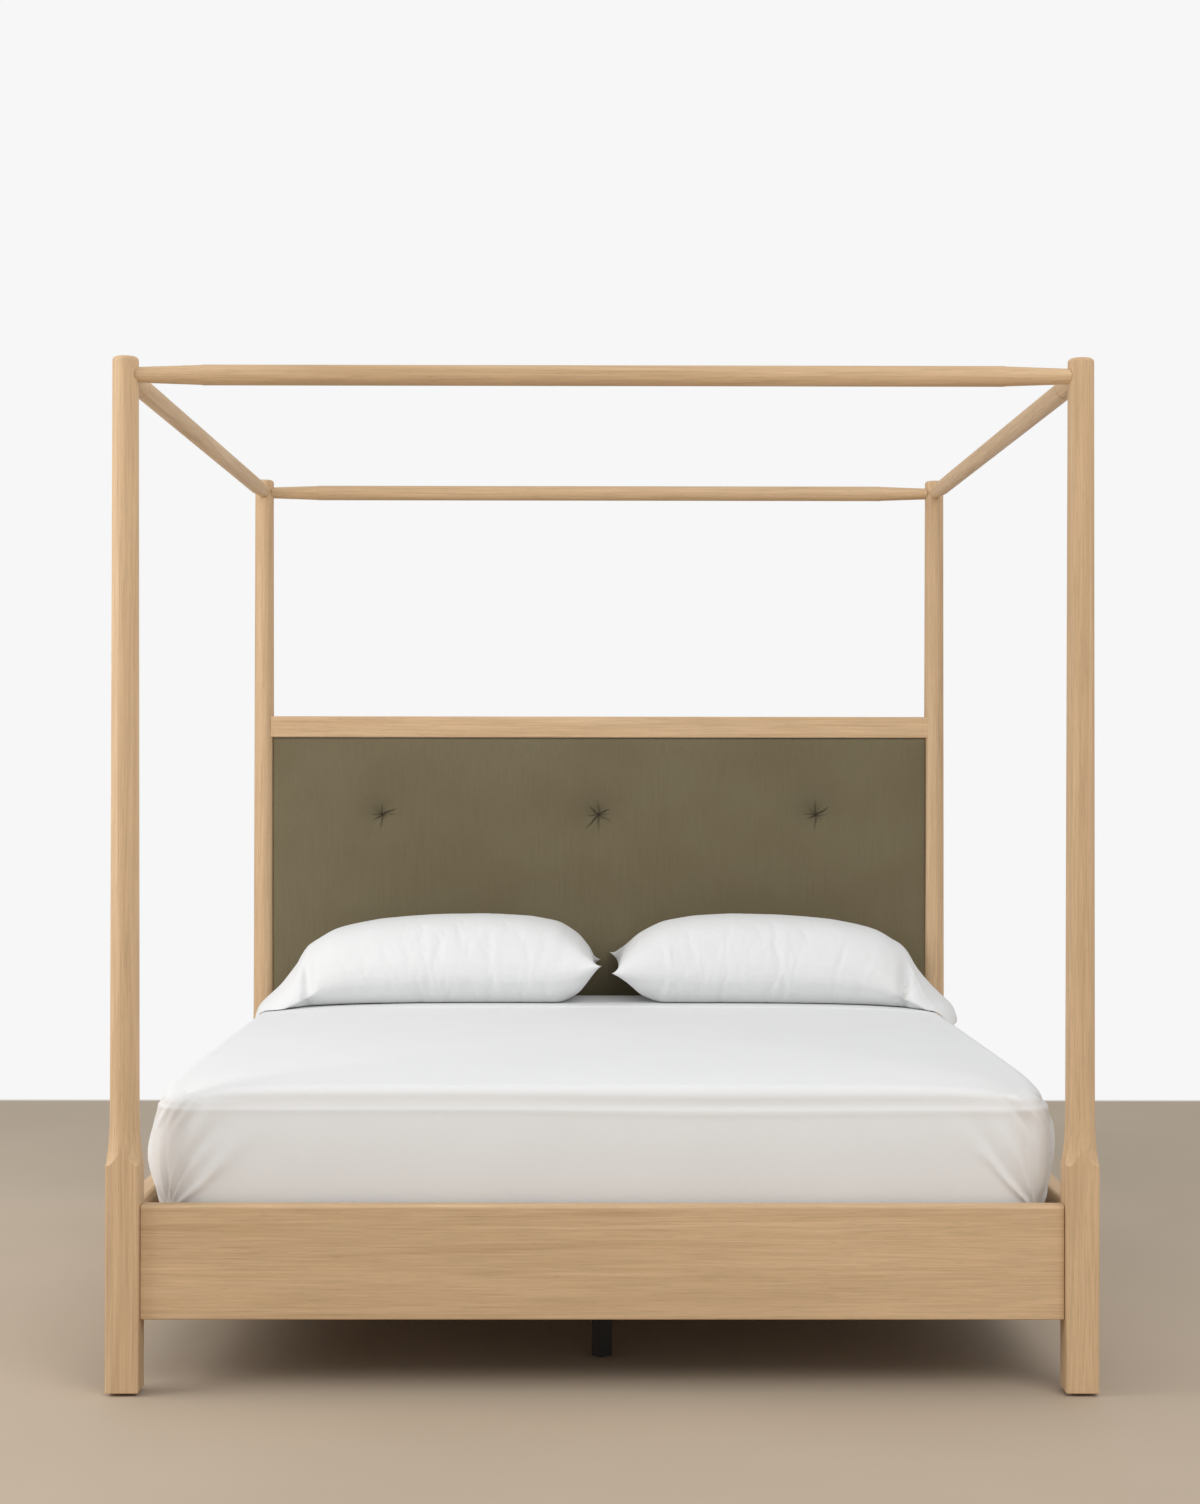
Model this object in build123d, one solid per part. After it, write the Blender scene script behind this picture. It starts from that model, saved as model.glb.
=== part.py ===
from build123d import *
import os

# A four poster canopy bed for a king mattress.
# +X is the right side of the bed seen from its foot, +Y runs from foot to head, +Z is up.
# The origin is on the floor under the middle of the bed. Lengths are in millimetres.
# side is -1 for the left and 1 for the right, and end is -1 for the foot and 1 for the head.

os.makedirs("parts", exist_ok=True)

# ---- driving dimensions ----
MATTRESS_WIDTH = 1930
MATTRESS_LENGTH = 2032
MATTRESS_HEIGHT = 318
SIDE_GAP = 16            # mattress to side rail
INSIDE_LENGTH = 2060     # front rail to rear rail

POST_SIZE = 70           # square foot of each post
POST_HEIGHT = 2180       # floor to post top
POST_CORNER = 5          # rounding of the foot's upright edges
POST_FOOT_EDGE = 3
POST_TOP_EDGE = 9
LEDGE_HEIGHT = 483       # where the square foot ends and the round shaft starts
SHAFT_TOP_RADIUS = 27.5
SHAFT_LOW_RADIUS = 30.9
FLARE_RADIUS = 45        # turned flare at the ledge, wider than the square's flats
FLARE_HEIGHT = 115
FLARE_SCOOP = (34.5, 6)  # radius and height above the ledge that draw the scoop of the flare
FLARE_NECK = (31.6, 50)  # the same for its long upper run

RAIL_THICKNESS = 42
RAIL_HEIGHT = 240
RAIL_BOTTOM = 157
RAIL_SETBACK = 18        # rail's outer face behind the post's outer face
RAIL_END_GAP = 1.5       # shadow gap between a rail's end and its post
RAIL_TOP_EDGE = 7
RAIL_LOW_EDGE = 4

CANOPY_DROP = 38         # canopy rail's axis below the post top
CANOPY_RADIUS = 21.75
CANOPY_SHOULDER_RADIUS = 21
CANOPY_END_RADIUS = 16.5
CANOPY_SHOULDER = 161.5  # post centre to the start of the tapered end
CANOPY_SINK = 15         # post centre to the rail's end before it is cut to the post

HEADBOARD_TOP = 1471
HEADBOARD_RAIL_HEIGHT = 63
HEADBOARD_RAIL_PROUD = 1 # rail's faces beyond the panel's
HEADBOARD_RAIL_EDGE = 4
PANEL_HALF_WIDTH = 970
PANEL_FRONT = 1036       # front face of the upholstered panel, along Y
COVER_THICKNESS = 1.5
COVER_OVERHANG = 13      # cover beyond the panel on each side, cut to the posts
FOAM_THICKNESS = 16.5
BOARD_THICKNESS = 9
STILE_THICKNESS = 13
STILE_WIDTH = 20
REAR_CLOTH_THICKNESS = 1
TUFT_SPACING = 650
TUFT_HEIGHT = 1176
TUFT_DEPTH = 12          # foam's face to the anchor that pulls the cover in
ANCHOR_RADIUS = 8
ANCHOR_THICKNESS = 2
TWINE_RADIUS = 1
WASHER_RADIUS = 10
WASHER_THICKNESS = 2
DOWEL_START = 8          # post axis to the dowel's outer end
DOWEL_END = 68
DOWEL_RADIUS = 5
DOWEL_RISES = (17, 46)   # above the headboard rail's underside
PANEL_SCREW_HEIGHTS = (620, 980, 1340)

SLAT_COUNT = 11
SLAT_WIDTH = 95
SLAT_THICKNESS = 19
SLAT_PITCH = 192
SLAT_TOP = 330
SLAT_EDGE = 3
SLAT_END_GAP = 4         # slat's end to the side rail
LEDGER_THICKNESS = 22
LEDGER_HEIGHT = 45
LEDGER_HALF_LENGTH = 1000
BEAM_WIDTH = 40
BEAM_HEIGHT = 70
BEAM_END_GAP = 1
HANGER_STEEL = 2.5
HANGER_REACH = 40        # how far a saddle holds the beam
HANGER_WING = 25
HANGER_SCREWS_X = (-35, 35)
HANGER_SCREW_RISES = (12, 48)
LEG_SIZE = 45
LEG_PITCH = 745
LEG_CORNER = 4

GLIDE_HEIGHT = 6         # floor to the underside of the wood
GLIDE_RADIUS = 9
GLIDE_PAD_HEIGHT = 5.7
GLIDE_STEM_TOP = 20
INSERT_RADIUS = 6        # threaded insert
INSERT_LENGTH = 16
INSERT_START = 10        # post axis to the inner end of a canopy insert
INSERT_HOLE_END = 40     # post axis to beyond the post's face
STUD_END = 60            # post axis to the outer end of a canopy stud
BOLT_RADIUS = 4          # M8 studs, bolts and glide stems
BOLT_HEAD_RADIUS = 7
BOLT_HEAD_HEIGHT = 6
LEG_BOLT_LENGTH = 150
SCREW_RADIUS = 2.2
SCREW_HEAD_RADIUS = 4.5
SCREW_HEAD_HEIGHT = 3
SCREW_LENGTH = 40
PLATE_SCREW_LENGTH = 28

PLATE_THICKNESS = 3      # hook and catch plates of the rail joints
PLATE = ((-15, 15), (-80, 80))
HOOK_HEIGHTS = (-55, 15)
HOOK_LENGTH = 24
HOOK_LIP = 8             # how far a hook reaches down behind the catch plate
HOOK_REACH = 12
HOOK_HALF_THICKNESS = 1.5
SLOT_HALF_WIDTH = 2.2
SLOT_LENGTH = 34
POCKET_DEPTH = 14
PLATE_SCREW_HEIGHTS = (-8, 65)

MATTRESS_CORNER = 70
MATTRESS_TOP_EDGE = 50
MATTRESS_LOW_EDGE = 25
SHEET_THICKNESS = 1.2
SHEET_HEM_RISE = 30      # hem above the mattress's underside

PILLOW_LENGTH = 905
PILLOW_DEPTH = 490
PILLOW_HEIGHT = 232
PILLOW_ROUNDING = 100
PILLOW_TO_HEADBOARD = 22
PILLOWCASE_THICKNESS = 1.5
FLAP_LENGTH = 62         # empty end of the pillowcase, past the pillow
FLAP_START = 60          # how far inside the pillow's end the flap starts
FLAP_INSETS = (20, 40)   # flap's front and rear edges inside the pillow's
FLAP_HEIGHT = 8
FLAP_CORNER = 20
LEFT_PILLOW_X = -448
RIGHT_PILLOW_X = 486

# ---- derived places ----
INSIDE_WIDTH = MATTRESS_WIDTH + 2 * SIDE_GAP
RAIL_X = INSIDE_WIDTH / 2 + RAIL_THICKNESS / 2
RAIL_Y = INSIDE_LENGTH / 2 + RAIL_THICKNESS / 2
HALF_WIDTH = INSIDE_WIDTH / 2 + RAIL_THICKNESS + RAIL_SETBACK
HALF_LENGTH = INSIDE_LENGTH / 2 + RAIL_THICKNESS + RAIL_SETBACK
POST_X = HALF_WIDTH - POST_SIZE / 2
POST_Y = HALF_LENGTH - POST_SIZE / 2
POST_FACE_X = POST_X - POST_SIZE / 2
POST_FACE_Y = POST_Y - POST_SIZE / 2
RAIL_TOP = RAIL_BOTTOM + RAIL_HEIGHT
RAIL_MIDDLE_Z = RAIL_BOTTOM + RAIL_HEIGHT / 2
CANOPY_Z = POST_HEIGHT - CANOPY_DROP
PANEL_TOP = HEADBOARD_TOP - HEADBOARD_RAIL_HEIGHT
FOAM_FRONT = PANEL_FRONT + COVER_THICKNESS
BOARD_FRONT = FOAM_FRONT + FOAM_THICKNESS
STILE_FRONT = BOARD_FRONT + BOARD_THICKNESS
PANEL_BACK = STILE_FRONT + STILE_THICKNESS
SLAT_BOTTOM = SLAT_TOP - SLAT_THICKNESS
MATTRESS_TOP = SLAT_TOP + MATTRESS_HEIGHT
MATTRESS_Y = 4           # the mattress sits a little nearer the headboard
PILLOW_BOTTOM = MATTRESS_TOP + SHEET_THICKNESS + 0.4
PILLOW_Y = PANEL_FRONT - PILLOW_TO_HEADBOARD - PILLOW_DEPTH / 2
ANCHOR_FRONT = FOAM_FRONT + TUFT_DEPTH
TUFT_PLACES = (-TUFT_SPACING, 0, TUFT_SPACING)
DOWEL_HEIGHTS = [PANEL_TOP + rise for rise in DOWEL_RISES]
DOWEL_Y = (PANEL_FRONT + PANEL_BACK) / 2
BEAM_BOTTOM = SLAT_BOTTOM - BEAM_HEIGHT
LEG_PLACES = {"front": -LEG_PITCH, "middle": 0, "rear": LEG_PITCH}
CORNERS = {
    "front_left": (-1, -1),
    "front_right": (1, -1),
    "rear_left": (-1, 1),
    "rear_right": (1, 1),
}


# ---- helpers ----
def block(x, y, z):
    """Box between three (low, high) pairs."""
    size = [high - low for low, high in (x, y, z)]
    middle = [(low + high) / 2 for low, high in (x, y, z)]
    return Pos(*middle) * Box(*size)


def rod(radius, start, end):
    """Round bar between two points."""
    line = Vector(*end) - Vector(*start)
    bar = Cylinder(radius, line.length, align=(Align.CENTER, Align.CENTER, Align.MIN))
    return Plane(origin=start, z_dir=line) * bar


def mirrored(shape, side, end):
    """Copy of a rear right shape in another corner: side is -1 for left, end is -1 for front."""
    if side < 0:
        shape = mirror(shape, about=Plane.YZ)
    if end < 0:
        shape = mirror(shape, about=Plane.XZ)
    return shape


def softened(shape, axis, radius):
    """Round the edges that run along one axis."""
    return fillet(shape.edges().filter_by(axis), radius)


def save(name, *pieces):
    """Write one node: one solid, or a group of identical fasteners."""
    solids = [solid for piece in pieces for solid in piece.solids()]
    node = solids[0] if len(solids) == 1 else Compound(children=solids)
    export_step(node, f"parts/{name}.step")


# ---- fasteners, each along its own +X from its head or outer end ----
def wood_screw(length=SCREW_LENGTH):
    align = (Align.CENTER, Align.CENTER, Align.MIN)
    head = Plane.YZ * Cone(SCREW_HEAD_RADIUS, SCREW_RADIUS, SCREW_HEAD_HEIGHT, align=align)
    return head + rod(SCREW_RADIUS, (SCREW_HEAD_HEIGHT, 0, 0), (length, 0, 0))


def threaded_insert():
    """Steel sleeve with an M8 bore, set in wood."""
    sleeve = rod(INSERT_RADIUS, (0, 0, 0), (INSERT_LENGTH, 0, 0))
    return sleeve - rod(BOLT_RADIUS, (0, 0, 0), (INSERT_LENGTH, 0, 0))


def glide():
    """Nylon glide and its stem in one piece, standing on the floor at the origin."""
    pad = Cylinder(GLIDE_RADIUS, GLIDE_PAD_HEIGHT, align=(Align.CENTER, Align.CENTER, Align.MIN))
    pad = fillet(pad.edges().group_by(Axis.Z)[0], 1)
    return pad + rod(BOLT_RADIUS - 0.1, (0, 0, GLIDE_PAD_HEIGHT), (0, 0, GLIDE_STEM_TOP))


def upright(shape):
    """Turn a fastener that runs along +X so that it runs along +Z."""
    return Rot(0, -90, 0) * shape


def downward(shape):
    """Turn a fastener that runs along +X so that it runs along -Z."""
    return Rot(0, 90, 0) * shape


# ---- knock-down rail joint, in its own frame ----
# The origin is on the post's face, +X runs into the post, and the rail is on the -X side.
def hook_plate():
    plate = block((-PLATE_THICKNESS, 0), *PLATE)
    width = (-HOOK_HALF_THICKNESS, HOOK_HALF_THICKNESS)
    for low in HOOK_HEIGHTS:
        plate += block((0, HOOK_REACH), width, (low, low + HOOK_LENGTH))
        plate += block((PLATE_THICKNESS + 0.3, HOOK_REACH), width, (low - HOOK_LIP, low))
    return plate


def catch_plate():
    plate = block((0, PLATE_THICKNESS), *PLATE)
    for low in HOOK_HEIGHTS:
        slot = (-SLOT_HALF_WIDTH, SLOT_HALF_WIDTH)
        plate -= block((0, PLATE_THICKNESS), slot, (low, low + SLOT_LENGTH))
    return plate


def post_pocket():
    """Recess for the catch plate, and room behind it for the hooks."""
    pocket = block((-1, PLATE_THICKNESS), *PLATE)
    width = (-2 * HOOK_HALF_THICKNESS, 2 * HOOK_HALF_THICKNESS)
    for low in HOOK_HEIGHTS:
        height = (low - HOOK_LIP - 3, low + SLOT_LENGTH + 2)
        pocket += block((PLATE_THICKNESS - 1, POCKET_DEPTH), width, height)
    return pocket


def plate_screws():
    """Two screws into the post and two into the rail's end."""
    pair = [Pos(0, 0, z) * wood_screw(PLATE_SCREW_LENGTH) for z in PLATE_SCREW_HEIGHTS]
    return pair + [Rot(0, 0, 180) * screw for screw in pair]


def rail_joints(side, end):
    """Places of the two rail joints on one post: the cross rail's, then the side rail's."""
    cross = Pos(side * POST_FACE_X, end * RAIL_Y, RAIL_MIDDLE_Z) * Rot(0, 0, 0 if side > 0 else 180)
    along = Pos(side * RAIL_X, end * POST_FACE_Y, RAIL_MIDDLE_Z) * Rot(0, 0, 90 * end)
    return cross, along


def canopy_joints(side, end):
    """Places of the two canopy joints on one post: +X points from the post's axis along the rail."""
    cross = Pos(side * POST_X, end * POST_Y, CANOPY_Z) * Rot(0, 0, 180 if side > 0 else 0)
    along = Pos(side * POST_X, end * POST_Y, CANOPY_Z) * Rot(0, 0, -90 * end)
    return cross, along


def headboard_dowels():
    """Dowels that pin the right end of the headboard's top rail to its post."""
    return [
        rod(DOWEL_RADIUS, (POST_X - DOWEL_END, DOWEL_Y, z), (POST_X - DOWEL_START, DOWEL_Y, z))
        for z in DOWEL_HEIGHTS
    ]


def panel_screws():
    """Screws through the right headboard stile into the post."""
    y = STILE_FRONT + STILE_THICKNESS / 2
    return [Pos(PANEL_HALF_WIDTH - STILE_WIDTH, y, z) * wood_screw() for z in PANEL_SCREW_HEIGHTS]


def foot_insert_hole():
    """Hole up into a foot for the insert that takes its glide."""
    return upright(rod(INSERT_RADIUS, (0, 0, 0), (INSERT_LENGTH + 2, 0, 0)))


# ---- posts ----
def post_blank():
    """Square foot and tapered round shaft. The turned flare is cut square by the post's own
    flats, which leaves four pointed arches and a small ledge at each corner."""
    half = POST_SIZE / 2
    width = (-half, half)
    column = softened(block(width, width, (GLIDE_HEIGHT, POST_HEIGHT)), Axis.Z, POST_CORNER)
    foot = column & block(width, width, (GLIDE_HEIGHT, LEDGE_HEIGHT))
    foot = fillet(foot.faces().sort_by(Axis.Z)[0].edges(), POST_FOOT_EDGE)
    flare_end = LEDGE_HEIGHT + FLARE_HEIGHT
    flare = Bezier(
        (FLARE_RADIUS, LEDGE_HEIGHT),
        (FLARE_SCOOP[0], LEDGE_HEIGHT + FLARE_SCOOP[1]),
        (FLARE_NECK[0], LEDGE_HEIGHT + FLARE_NECK[1]),
        (SHAFT_LOW_RADIUS, flare_end),
    )
    taper = Line((SHAFT_LOW_RADIUS, flare_end), (SHAFT_TOP_RADIUS, POST_HEIGHT - POST_TOP_EDGE))
    crown = RadiusArc(taper @ 1, (SHAFT_TOP_RADIUS - POST_TOP_EDGE, POST_HEIGHT), -POST_TOP_EDGE)
    close = Polyline(crown @ 1, (0, POST_HEIGHT), (0, LEDGE_HEIGHT), (FLARE_RADIUS, LEDGE_HEIGHT))
    section = make_face(flare + taper + crown + close)
    shaft = revolve(Plane.XZ * section, Axis.Z)
    return foot + (shaft & column)


def post(side, end, blank):
    shape = Pos(side * POST_X, end * POST_Y, 0) * blank
    for joint in rail_joints(side, end):
        shape -= joint * post_pocket()
        for screw in plate_screws()[:2]:
            shape -= joint * screw
    for joint in canopy_joints(side, end):
        shape -= joint * rod(INSERT_RADIUS, (INSERT_START, 0, 0), (INSERT_HOLE_END, 0, 0))
    shape -= Pos(side * POST_X, end * POST_Y, GLIDE_HEIGHT) * foot_insert_hole()
    if end > 0:
        for cutter in headboard_dowels() + panel_screws():
            shape -= mirrored(cutter, side, 1)
    return shape


# ---- rails ----
def rail_end_cuts(joint):
    """Recess for the hook plate and holes for its screws, in a rail's end."""
    recess = block((-PLATE_THICKNESS, 1), *PLATE)
    return [joint * recess] + [joint * screw for screw in plate_screws()[2:]]


def rounded_rail(x, y, axis):
    """Wide board on edge with a soft top and eased lower edges."""
    board = block(x, y, (RAIL_BOTTOM, RAIL_TOP))
    long_edges = board.edges().filter_by(axis)
    board = fillet(long_edges.group_by(Axis.Z)[-1], RAIL_TOP_EDGE)
    return fillet(board.edges().filter_by(axis).group_by(Axis.Z)[0], RAIL_LOW_EDGE)


def cross_rail(end):
    """Rail across the bed at its foot or head."""
    half = POST_FACE_X - RAIL_END_GAP
    faces = sorted((end * INSIDE_LENGTH / 2, end * (INSIDE_LENGTH / 2 + RAIL_THICKNESS)))
    rail = rounded_rail((-half, half), faces, Axis.X)
    for side in (-1, 1):
        for cutter in rail_end_cuts(rail_joints(side, end)[0]):
            rail -= cutter
    for screw in hanger_screws(end):
        rail -= screw
    return rail


def side_rail(side):
    half = POST_FACE_Y - RAIL_END_GAP
    faces = sorted((side * INSIDE_WIDTH / 2, side * (INSIDE_WIDTH / 2 + RAIL_THICKNESS)))
    rail = rounded_rail(faces, (-half, half), Axis.Y)
    for end in (-1, 1):
        for cutter in rail_end_cuts(rail_joints(side, end)[1]):
            rail -= cutter
    for screw in ledger_screws(side):
        rail -= screw
    return rail


def canopy_rail(half_span):
    """Round rail along X between two post axes, with a shoulder and a tapered end at each post."""
    shoulder = half_span - CANOPY_SHOULDER
    section = make_face(
        Polyline(
            (0, 0),
            (0, CANOPY_RADIUS),
            (shoulder, CANOPY_RADIUS),
            (shoulder, CANOPY_SHOULDER_RADIUS),
            (half_span - SHAFT_TOP_RADIUS, CANOPY_END_RADIUS),
            (half_span - CANOPY_SINK, CANOPY_END_RADIUS),
            (half_span - CANOPY_SINK, 0),
            (0, 0),
        )
    )
    half = revolve(section, Axis.X)
    return half + mirror(half, about=Plane.YZ)


def fitted_canopy_rail(rail, blanks, joints):
    """Cut a canopy rail's ends to the posts' round faces, and drill them for the studs."""
    for blank in blanks:
        rail -= blank
    for joint in joints:
        rail -= joint * rod(BOLT_RADIUS, (INSERT_START, 0, 0), (STUD_END, 0, 0))
    return rail.solids().sort_by(SortBy.VOLUME)[-1]


# ---- slatted base ----
def slat_places():
    first = -SLAT_PITCH * (SLAT_COUNT - 1) / 2
    return [first + SLAT_PITCH * i for i in range(SLAT_COUNT)]


def ledger_screws(side):
    """Screws through a ledger into its side rail, each midway between two slats."""
    x = side * (INSIDE_WIDTH / 2 - LEDGER_THICKNESS)
    z = SLAT_BOTTOM - LEDGER_HEIGHT / 2
    turn = Rot(0, 0, 0 if side > 0 else 180)
    places = [y + SLAT_PITCH / 2 for y in slat_places()[:-1:2]]
    return [Pos(x, y, z) * turn * wood_screw() for y in places]


def slat_screws(y):
    """One screw down through each end of a slat into the ledger."""
    x = INSIDE_WIDTH / 2 - LEDGER_THICKNESS / 2
    return [Pos(side * x, y, SLAT_TOP) * downward(wood_screw()) for side in (-1, 1)]


def ledger(side):
    faces = sorted((side * (INSIDE_WIDTH / 2 - LEDGER_THICKNESS), side * INSIDE_WIDTH / 2))
    length = (-LEDGER_HALF_LENGTH, LEDGER_HALF_LENGTH)
    strip = block(faces, length, (SLAT_BOTTOM - LEDGER_HEIGHT, SLAT_BOTTOM))
    for screw in ledger_screws(side):
        strip -= screw
    for y in slat_places():
        strip -= slat_screws(y)[0 if side < 0 else 1]
    return strip


def slat(y):
    half = INSIDE_WIDTH / 2 - SLAT_END_GAP
    board = block((-half, half), (y - SLAT_WIDTH / 2, y + SLAT_WIDTH / 2), (SLAT_BOTTOM, SLAT_TOP))
    board = softened(board, Axis.X, SLAT_EDGE)
    for screw in slat_screws(y):
        board -= screw
    return board


def beam_hanger(end):
    """Steel saddle on a cross rail's inner face, which holds one end of the centre beam."""
    face = INSIDE_LENGTH / 2
    reach = (face - HANGER_REACH, face)
    wing = (face - HANGER_STEEL, face)
    half = BEAM_WIDTH / 2
    outer = half + HANGER_STEEL
    height = (BEAM_BOTTOM - HANGER_STEEL, SLAT_BOTTOM - 10)
    saddle = block((-outer, outer), reach, height) - block((-half, half), reach, (BEAM_BOTTOM, RAIL_TOP))
    for side in (-1, 1):
        saddle += block(sorted((side * half, side * (outer + HANGER_WING))), wing, height)
    saddle = mirrored(saddle, 1, end)
    for screw in hanger_screws(end):
        saddle -= screw
    return saddle


def hanger_screws(end):
    y = end * (INSIDE_LENGTH / 2 - HANGER_STEEL)
    turn = Rot(0, 0, 90 * end)
    places = [(x, BEAM_BOTTOM + rise) for x in HANGER_SCREWS_X for rise in HANGER_SCREW_RISES]
    return [Pos(x, y, z) * turn * wood_screw() for x, z in places]


def leg_bolt(y):
    """Bolt down through the centre beam into a leg, its head sunk in the beam's top."""
    under_head = SLAT_BOTTOM - BOLT_HEAD_HEIGHT
    head = rod(BOLT_HEAD_RADIUS, (0, y, under_head), (0, y, SLAT_BOTTOM))
    return head + rod(BOLT_RADIUS, (0, y, SLAT_BOTTOM - LEG_BOLT_LENGTH), (0, y, under_head))


def center_beam():
    half = INSIDE_LENGTH / 2 - BEAM_END_GAP
    beam = block((-BEAM_WIDTH / 2, BEAM_WIDTH / 2), (-half, half), (BEAM_BOTTOM, SLAT_BOTTOM))
    for y in LEG_PLACES.values():
        beam -= leg_bolt(y)
    return beam


def center_leg(y):
    half = LEG_SIZE / 2
    leg = block((-half, half), (y - half, y + half), (GLIDE_HEIGHT, BEAM_BOTTOM))
    leg = softened(leg, Axis.Z, LEG_CORNER)
    leg -= Pos(0, y, GLIDE_HEIGHT) * foot_insert_hole()
    return leg - leg_bolt(y)


# ---- headboard ----
def headboard_top_rail(blanks):
    depth = (PANEL_FRONT - HEADBOARD_RAIL_PROUD, PANEL_BACK + HEADBOARD_RAIL_PROUD)
    rail = block((-POST_X, POST_X), depth, (PANEL_TOP, HEADBOARD_TOP))
    rail = softened(rail, Axis.X, HEADBOARD_RAIL_EDGE)
    for blank in blanks:
        rail -= blank
    for dowel in headboard_dowels():
        rail -= dowel
        rail -= mirrored(dowel, -1, 1)
    return rail.solids().sort_by(SortBy.VOLUME)[-1]


def headboard_cover(blanks):
    """Woven cover over the foam's face and wrapped round the panel's edges, close against the posts."""
    reach = PANEL_HALF_WIDTH + COVER_OVERHANG
    depth = (PANEL_FRONT, PANEL_BACK - REAR_CLOTH_THICKNESS)
    cover = block((-reach, reach), depth, (RAIL_TOP, PANEL_TOP))
    inside = block(
        (-PANEL_HALF_WIDTH, PANEL_HALF_WIDTH),
        (FOAM_FRONT, PANEL_BACK),
        (RAIL_TOP + COVER_THICKNESS, PANEL_TOP - COVER_THICKNESS),
    )
    cover -= inside
    for blank in blanks:
        cover -= blank
    for screw in panel_screws():
        cover -= screw
        cover -= mirrored(screw, -1, 1)
    return cover.solids().sort_by(SortBy.VOLUME)[-1]


def panel_layer(front, thickness):
    """Flat layer of the headboard inside its cover."""
    width = (-PANEL_HALF_WIDTH, PANEL_HALF_WIDTH)
    height = (RAIL_TOP + COVER_THICKNESS, PANEL_TOP - COVER_THICKNESS)
    return block(width, (front, front + thickness), height)


def along_tuft(radius, x, front, back):
    """Round bar through the headboard at a tuft."""
    return rod(radius, (x, front, TUFT_HEIGHT), (x, back, TUFT_HEIGHT))


def tuft_tie(x):
    """Flat anchor sunk in the foam, with its twine through the foam and the board."""
    anchor_back = ANCHOR_FRONT + ANCHOR_THICKNESS
    twine_end = STILE_FRONT + WASHER_THICKNESS + 2
    anchor = along_tuft(ANCHOR_RADIUS, x, ANCHOR_FRONT, anchor_back)
    return anchor + along_tuft(TWINE_RADIUS, x, anchor_back, twine_end)


def tuft_washer(x):
    washer = along_tuft(WASHER_RADIUS, x, STILE_FRONT, STILE_FRONT + WASHER_THICKNESS)
    return washer - tuft_tie(x)


def headboard_foam():
    foam = panel_layer(FOAM_FRONT, FOAM_THICKNESS)
    for x in TUFT_PLACES:
        foam -= along_tuft(ANCHOR_RADIUS, x, FOAM_FRONT - 1, ANCHOR_FRONT + ANCHOR_THICKNESS)
        foam -= tuft_tie(x)
    return foam


def headboard_board():
    board = panel_layer(BOARD_FRONT, BOARD_THICKNESS)
    for x in TUFT_PLACES:
        board -= tuft_tie(x)
    return board


def headboard_stile(side):
    stile = panel_layer(STILE_FRONT, STILE_THICKNESS - REAR_CLOTH_THICKNESS)
    width = (PANEL_HALF_WIDTH - STILE_WIDTH, PANEL_HALF_WIDTH)
    stile &= block(width, (0, HALF_LENGTH), (0, POST_HEIGHT))
    for screw in panel_screws():
        stile -= screw
    return mirrored(stile, side, 1)


def headboard_rear_cloth():
    width = (-PANEL_HALF_WIDTH, PANEL_HALF_WIDTH)
    return block(width, (PANEL_BACK - REAR_CLOTH_THICKNESS, PANEL_BACK), (RAIL_TOP, PANEL_TOP))


# ---- mattress, sheet and pillows ----
def mattress_form(grow):
    """Mattress with rounded corners and edges, grown evenly on its sides and top."""
    half_x = MATTRESS_WIDTH / 2 + grow
    half_y = MATTRESS_LENGTH / 2 + grow
    form = block((-half_x, half_x), (-half_y, half_y), (SLAT_TOP, MATTRESS_TOP + grow))
    form = softened(form, Axis.Z, MATTRESS_CORNER + grow)
    form = fillet(form.faces().sort_by(Axis.Z)[-1].edges(), MATTRESS_TOP_EDGE + grow)
    form = fillet(form.faces().sort_by(Axis.Z)[0].edges(), MATTRESS_LOW_EDGE)
    return Pos(0, MATTRESS_Y, 0) * form


def fitted_sheet():
    """Sheet pulled over the mattress and down its sides."""
    low = SLAT_TOP + SHEET_HEM_RISE
    tent = mattress_form(SHEET_THICKNESS) - mattress_form(0)
    tent &= block((-HALF_WIDTH, HALF_WIDTH), (-HALF_LENGTH, HALF_LENGTH), (low, POST_HEIGHT))
    return tent.solids().sort_by(SortBy.VOLUME)[-1]


def pillow_form(grow):
    """Plump pillow lying flat, about the middle of its underside."""
    size = (PILLOW_LENGTH + 2 * grow, PILLOW_DEPTH + 2 * grow, PILLOW_HEIGHT + 2 * grow)
    form = Pos(0, 0, PILLOW_HEIGHT / 2) * Box(*size)
    return fillet(form.edges(), PILLOW_ROUNDING)


def pillow_place(side):
    return Pos(LEFT_PILLOW_X if side < 0 else RIGHT_PILLOW_X, PILLOW_Y, PILLOW_BOTTOM + PILLOWCASE_THICKNESS)


def pillowcase(side):
    """Case round the pillow, with its empty end lying flat towards the side of the bed."""
    length = (PILLOW_LENGTH / 2 - FLAP_START, PILLOW_LENGTH / 2 + FLAP_LENGTH)
    depth = (-PILLOW_DEPTH / 2 + FLAP_INSETS[0], PILLOW_DEPTH / 2 - FLAP_INSETS[1])
    flap = softened(block(length, depth, (-PILLOWCASE_THICKNESS, FLAP_HEIGHT)), Axis.Z, FLAP_CORNER)
    case = pillow_form(PILLOWCASE_THICKNESS) + flap - pillow_form(0)
    return pillow_place(side) * mirrored(case, side, 1)


# ---- build every node ----
blank = post_blank()
blanks = {name: Pos(side * POST_X, end * POST_Y, 0) * blank for name, (side, end) in CORNERS.items()}
rear_blanks = [blanks["rear_left"], blanks["rear_right"]]

foot_places = {name: (side * POST_X, end * POST_Y) for name, (side, end) in CORNERS.items()}
foot_places.update({f"{name}_leg": (0, y) for name, y in LEG_PLACES.items()})

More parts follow.
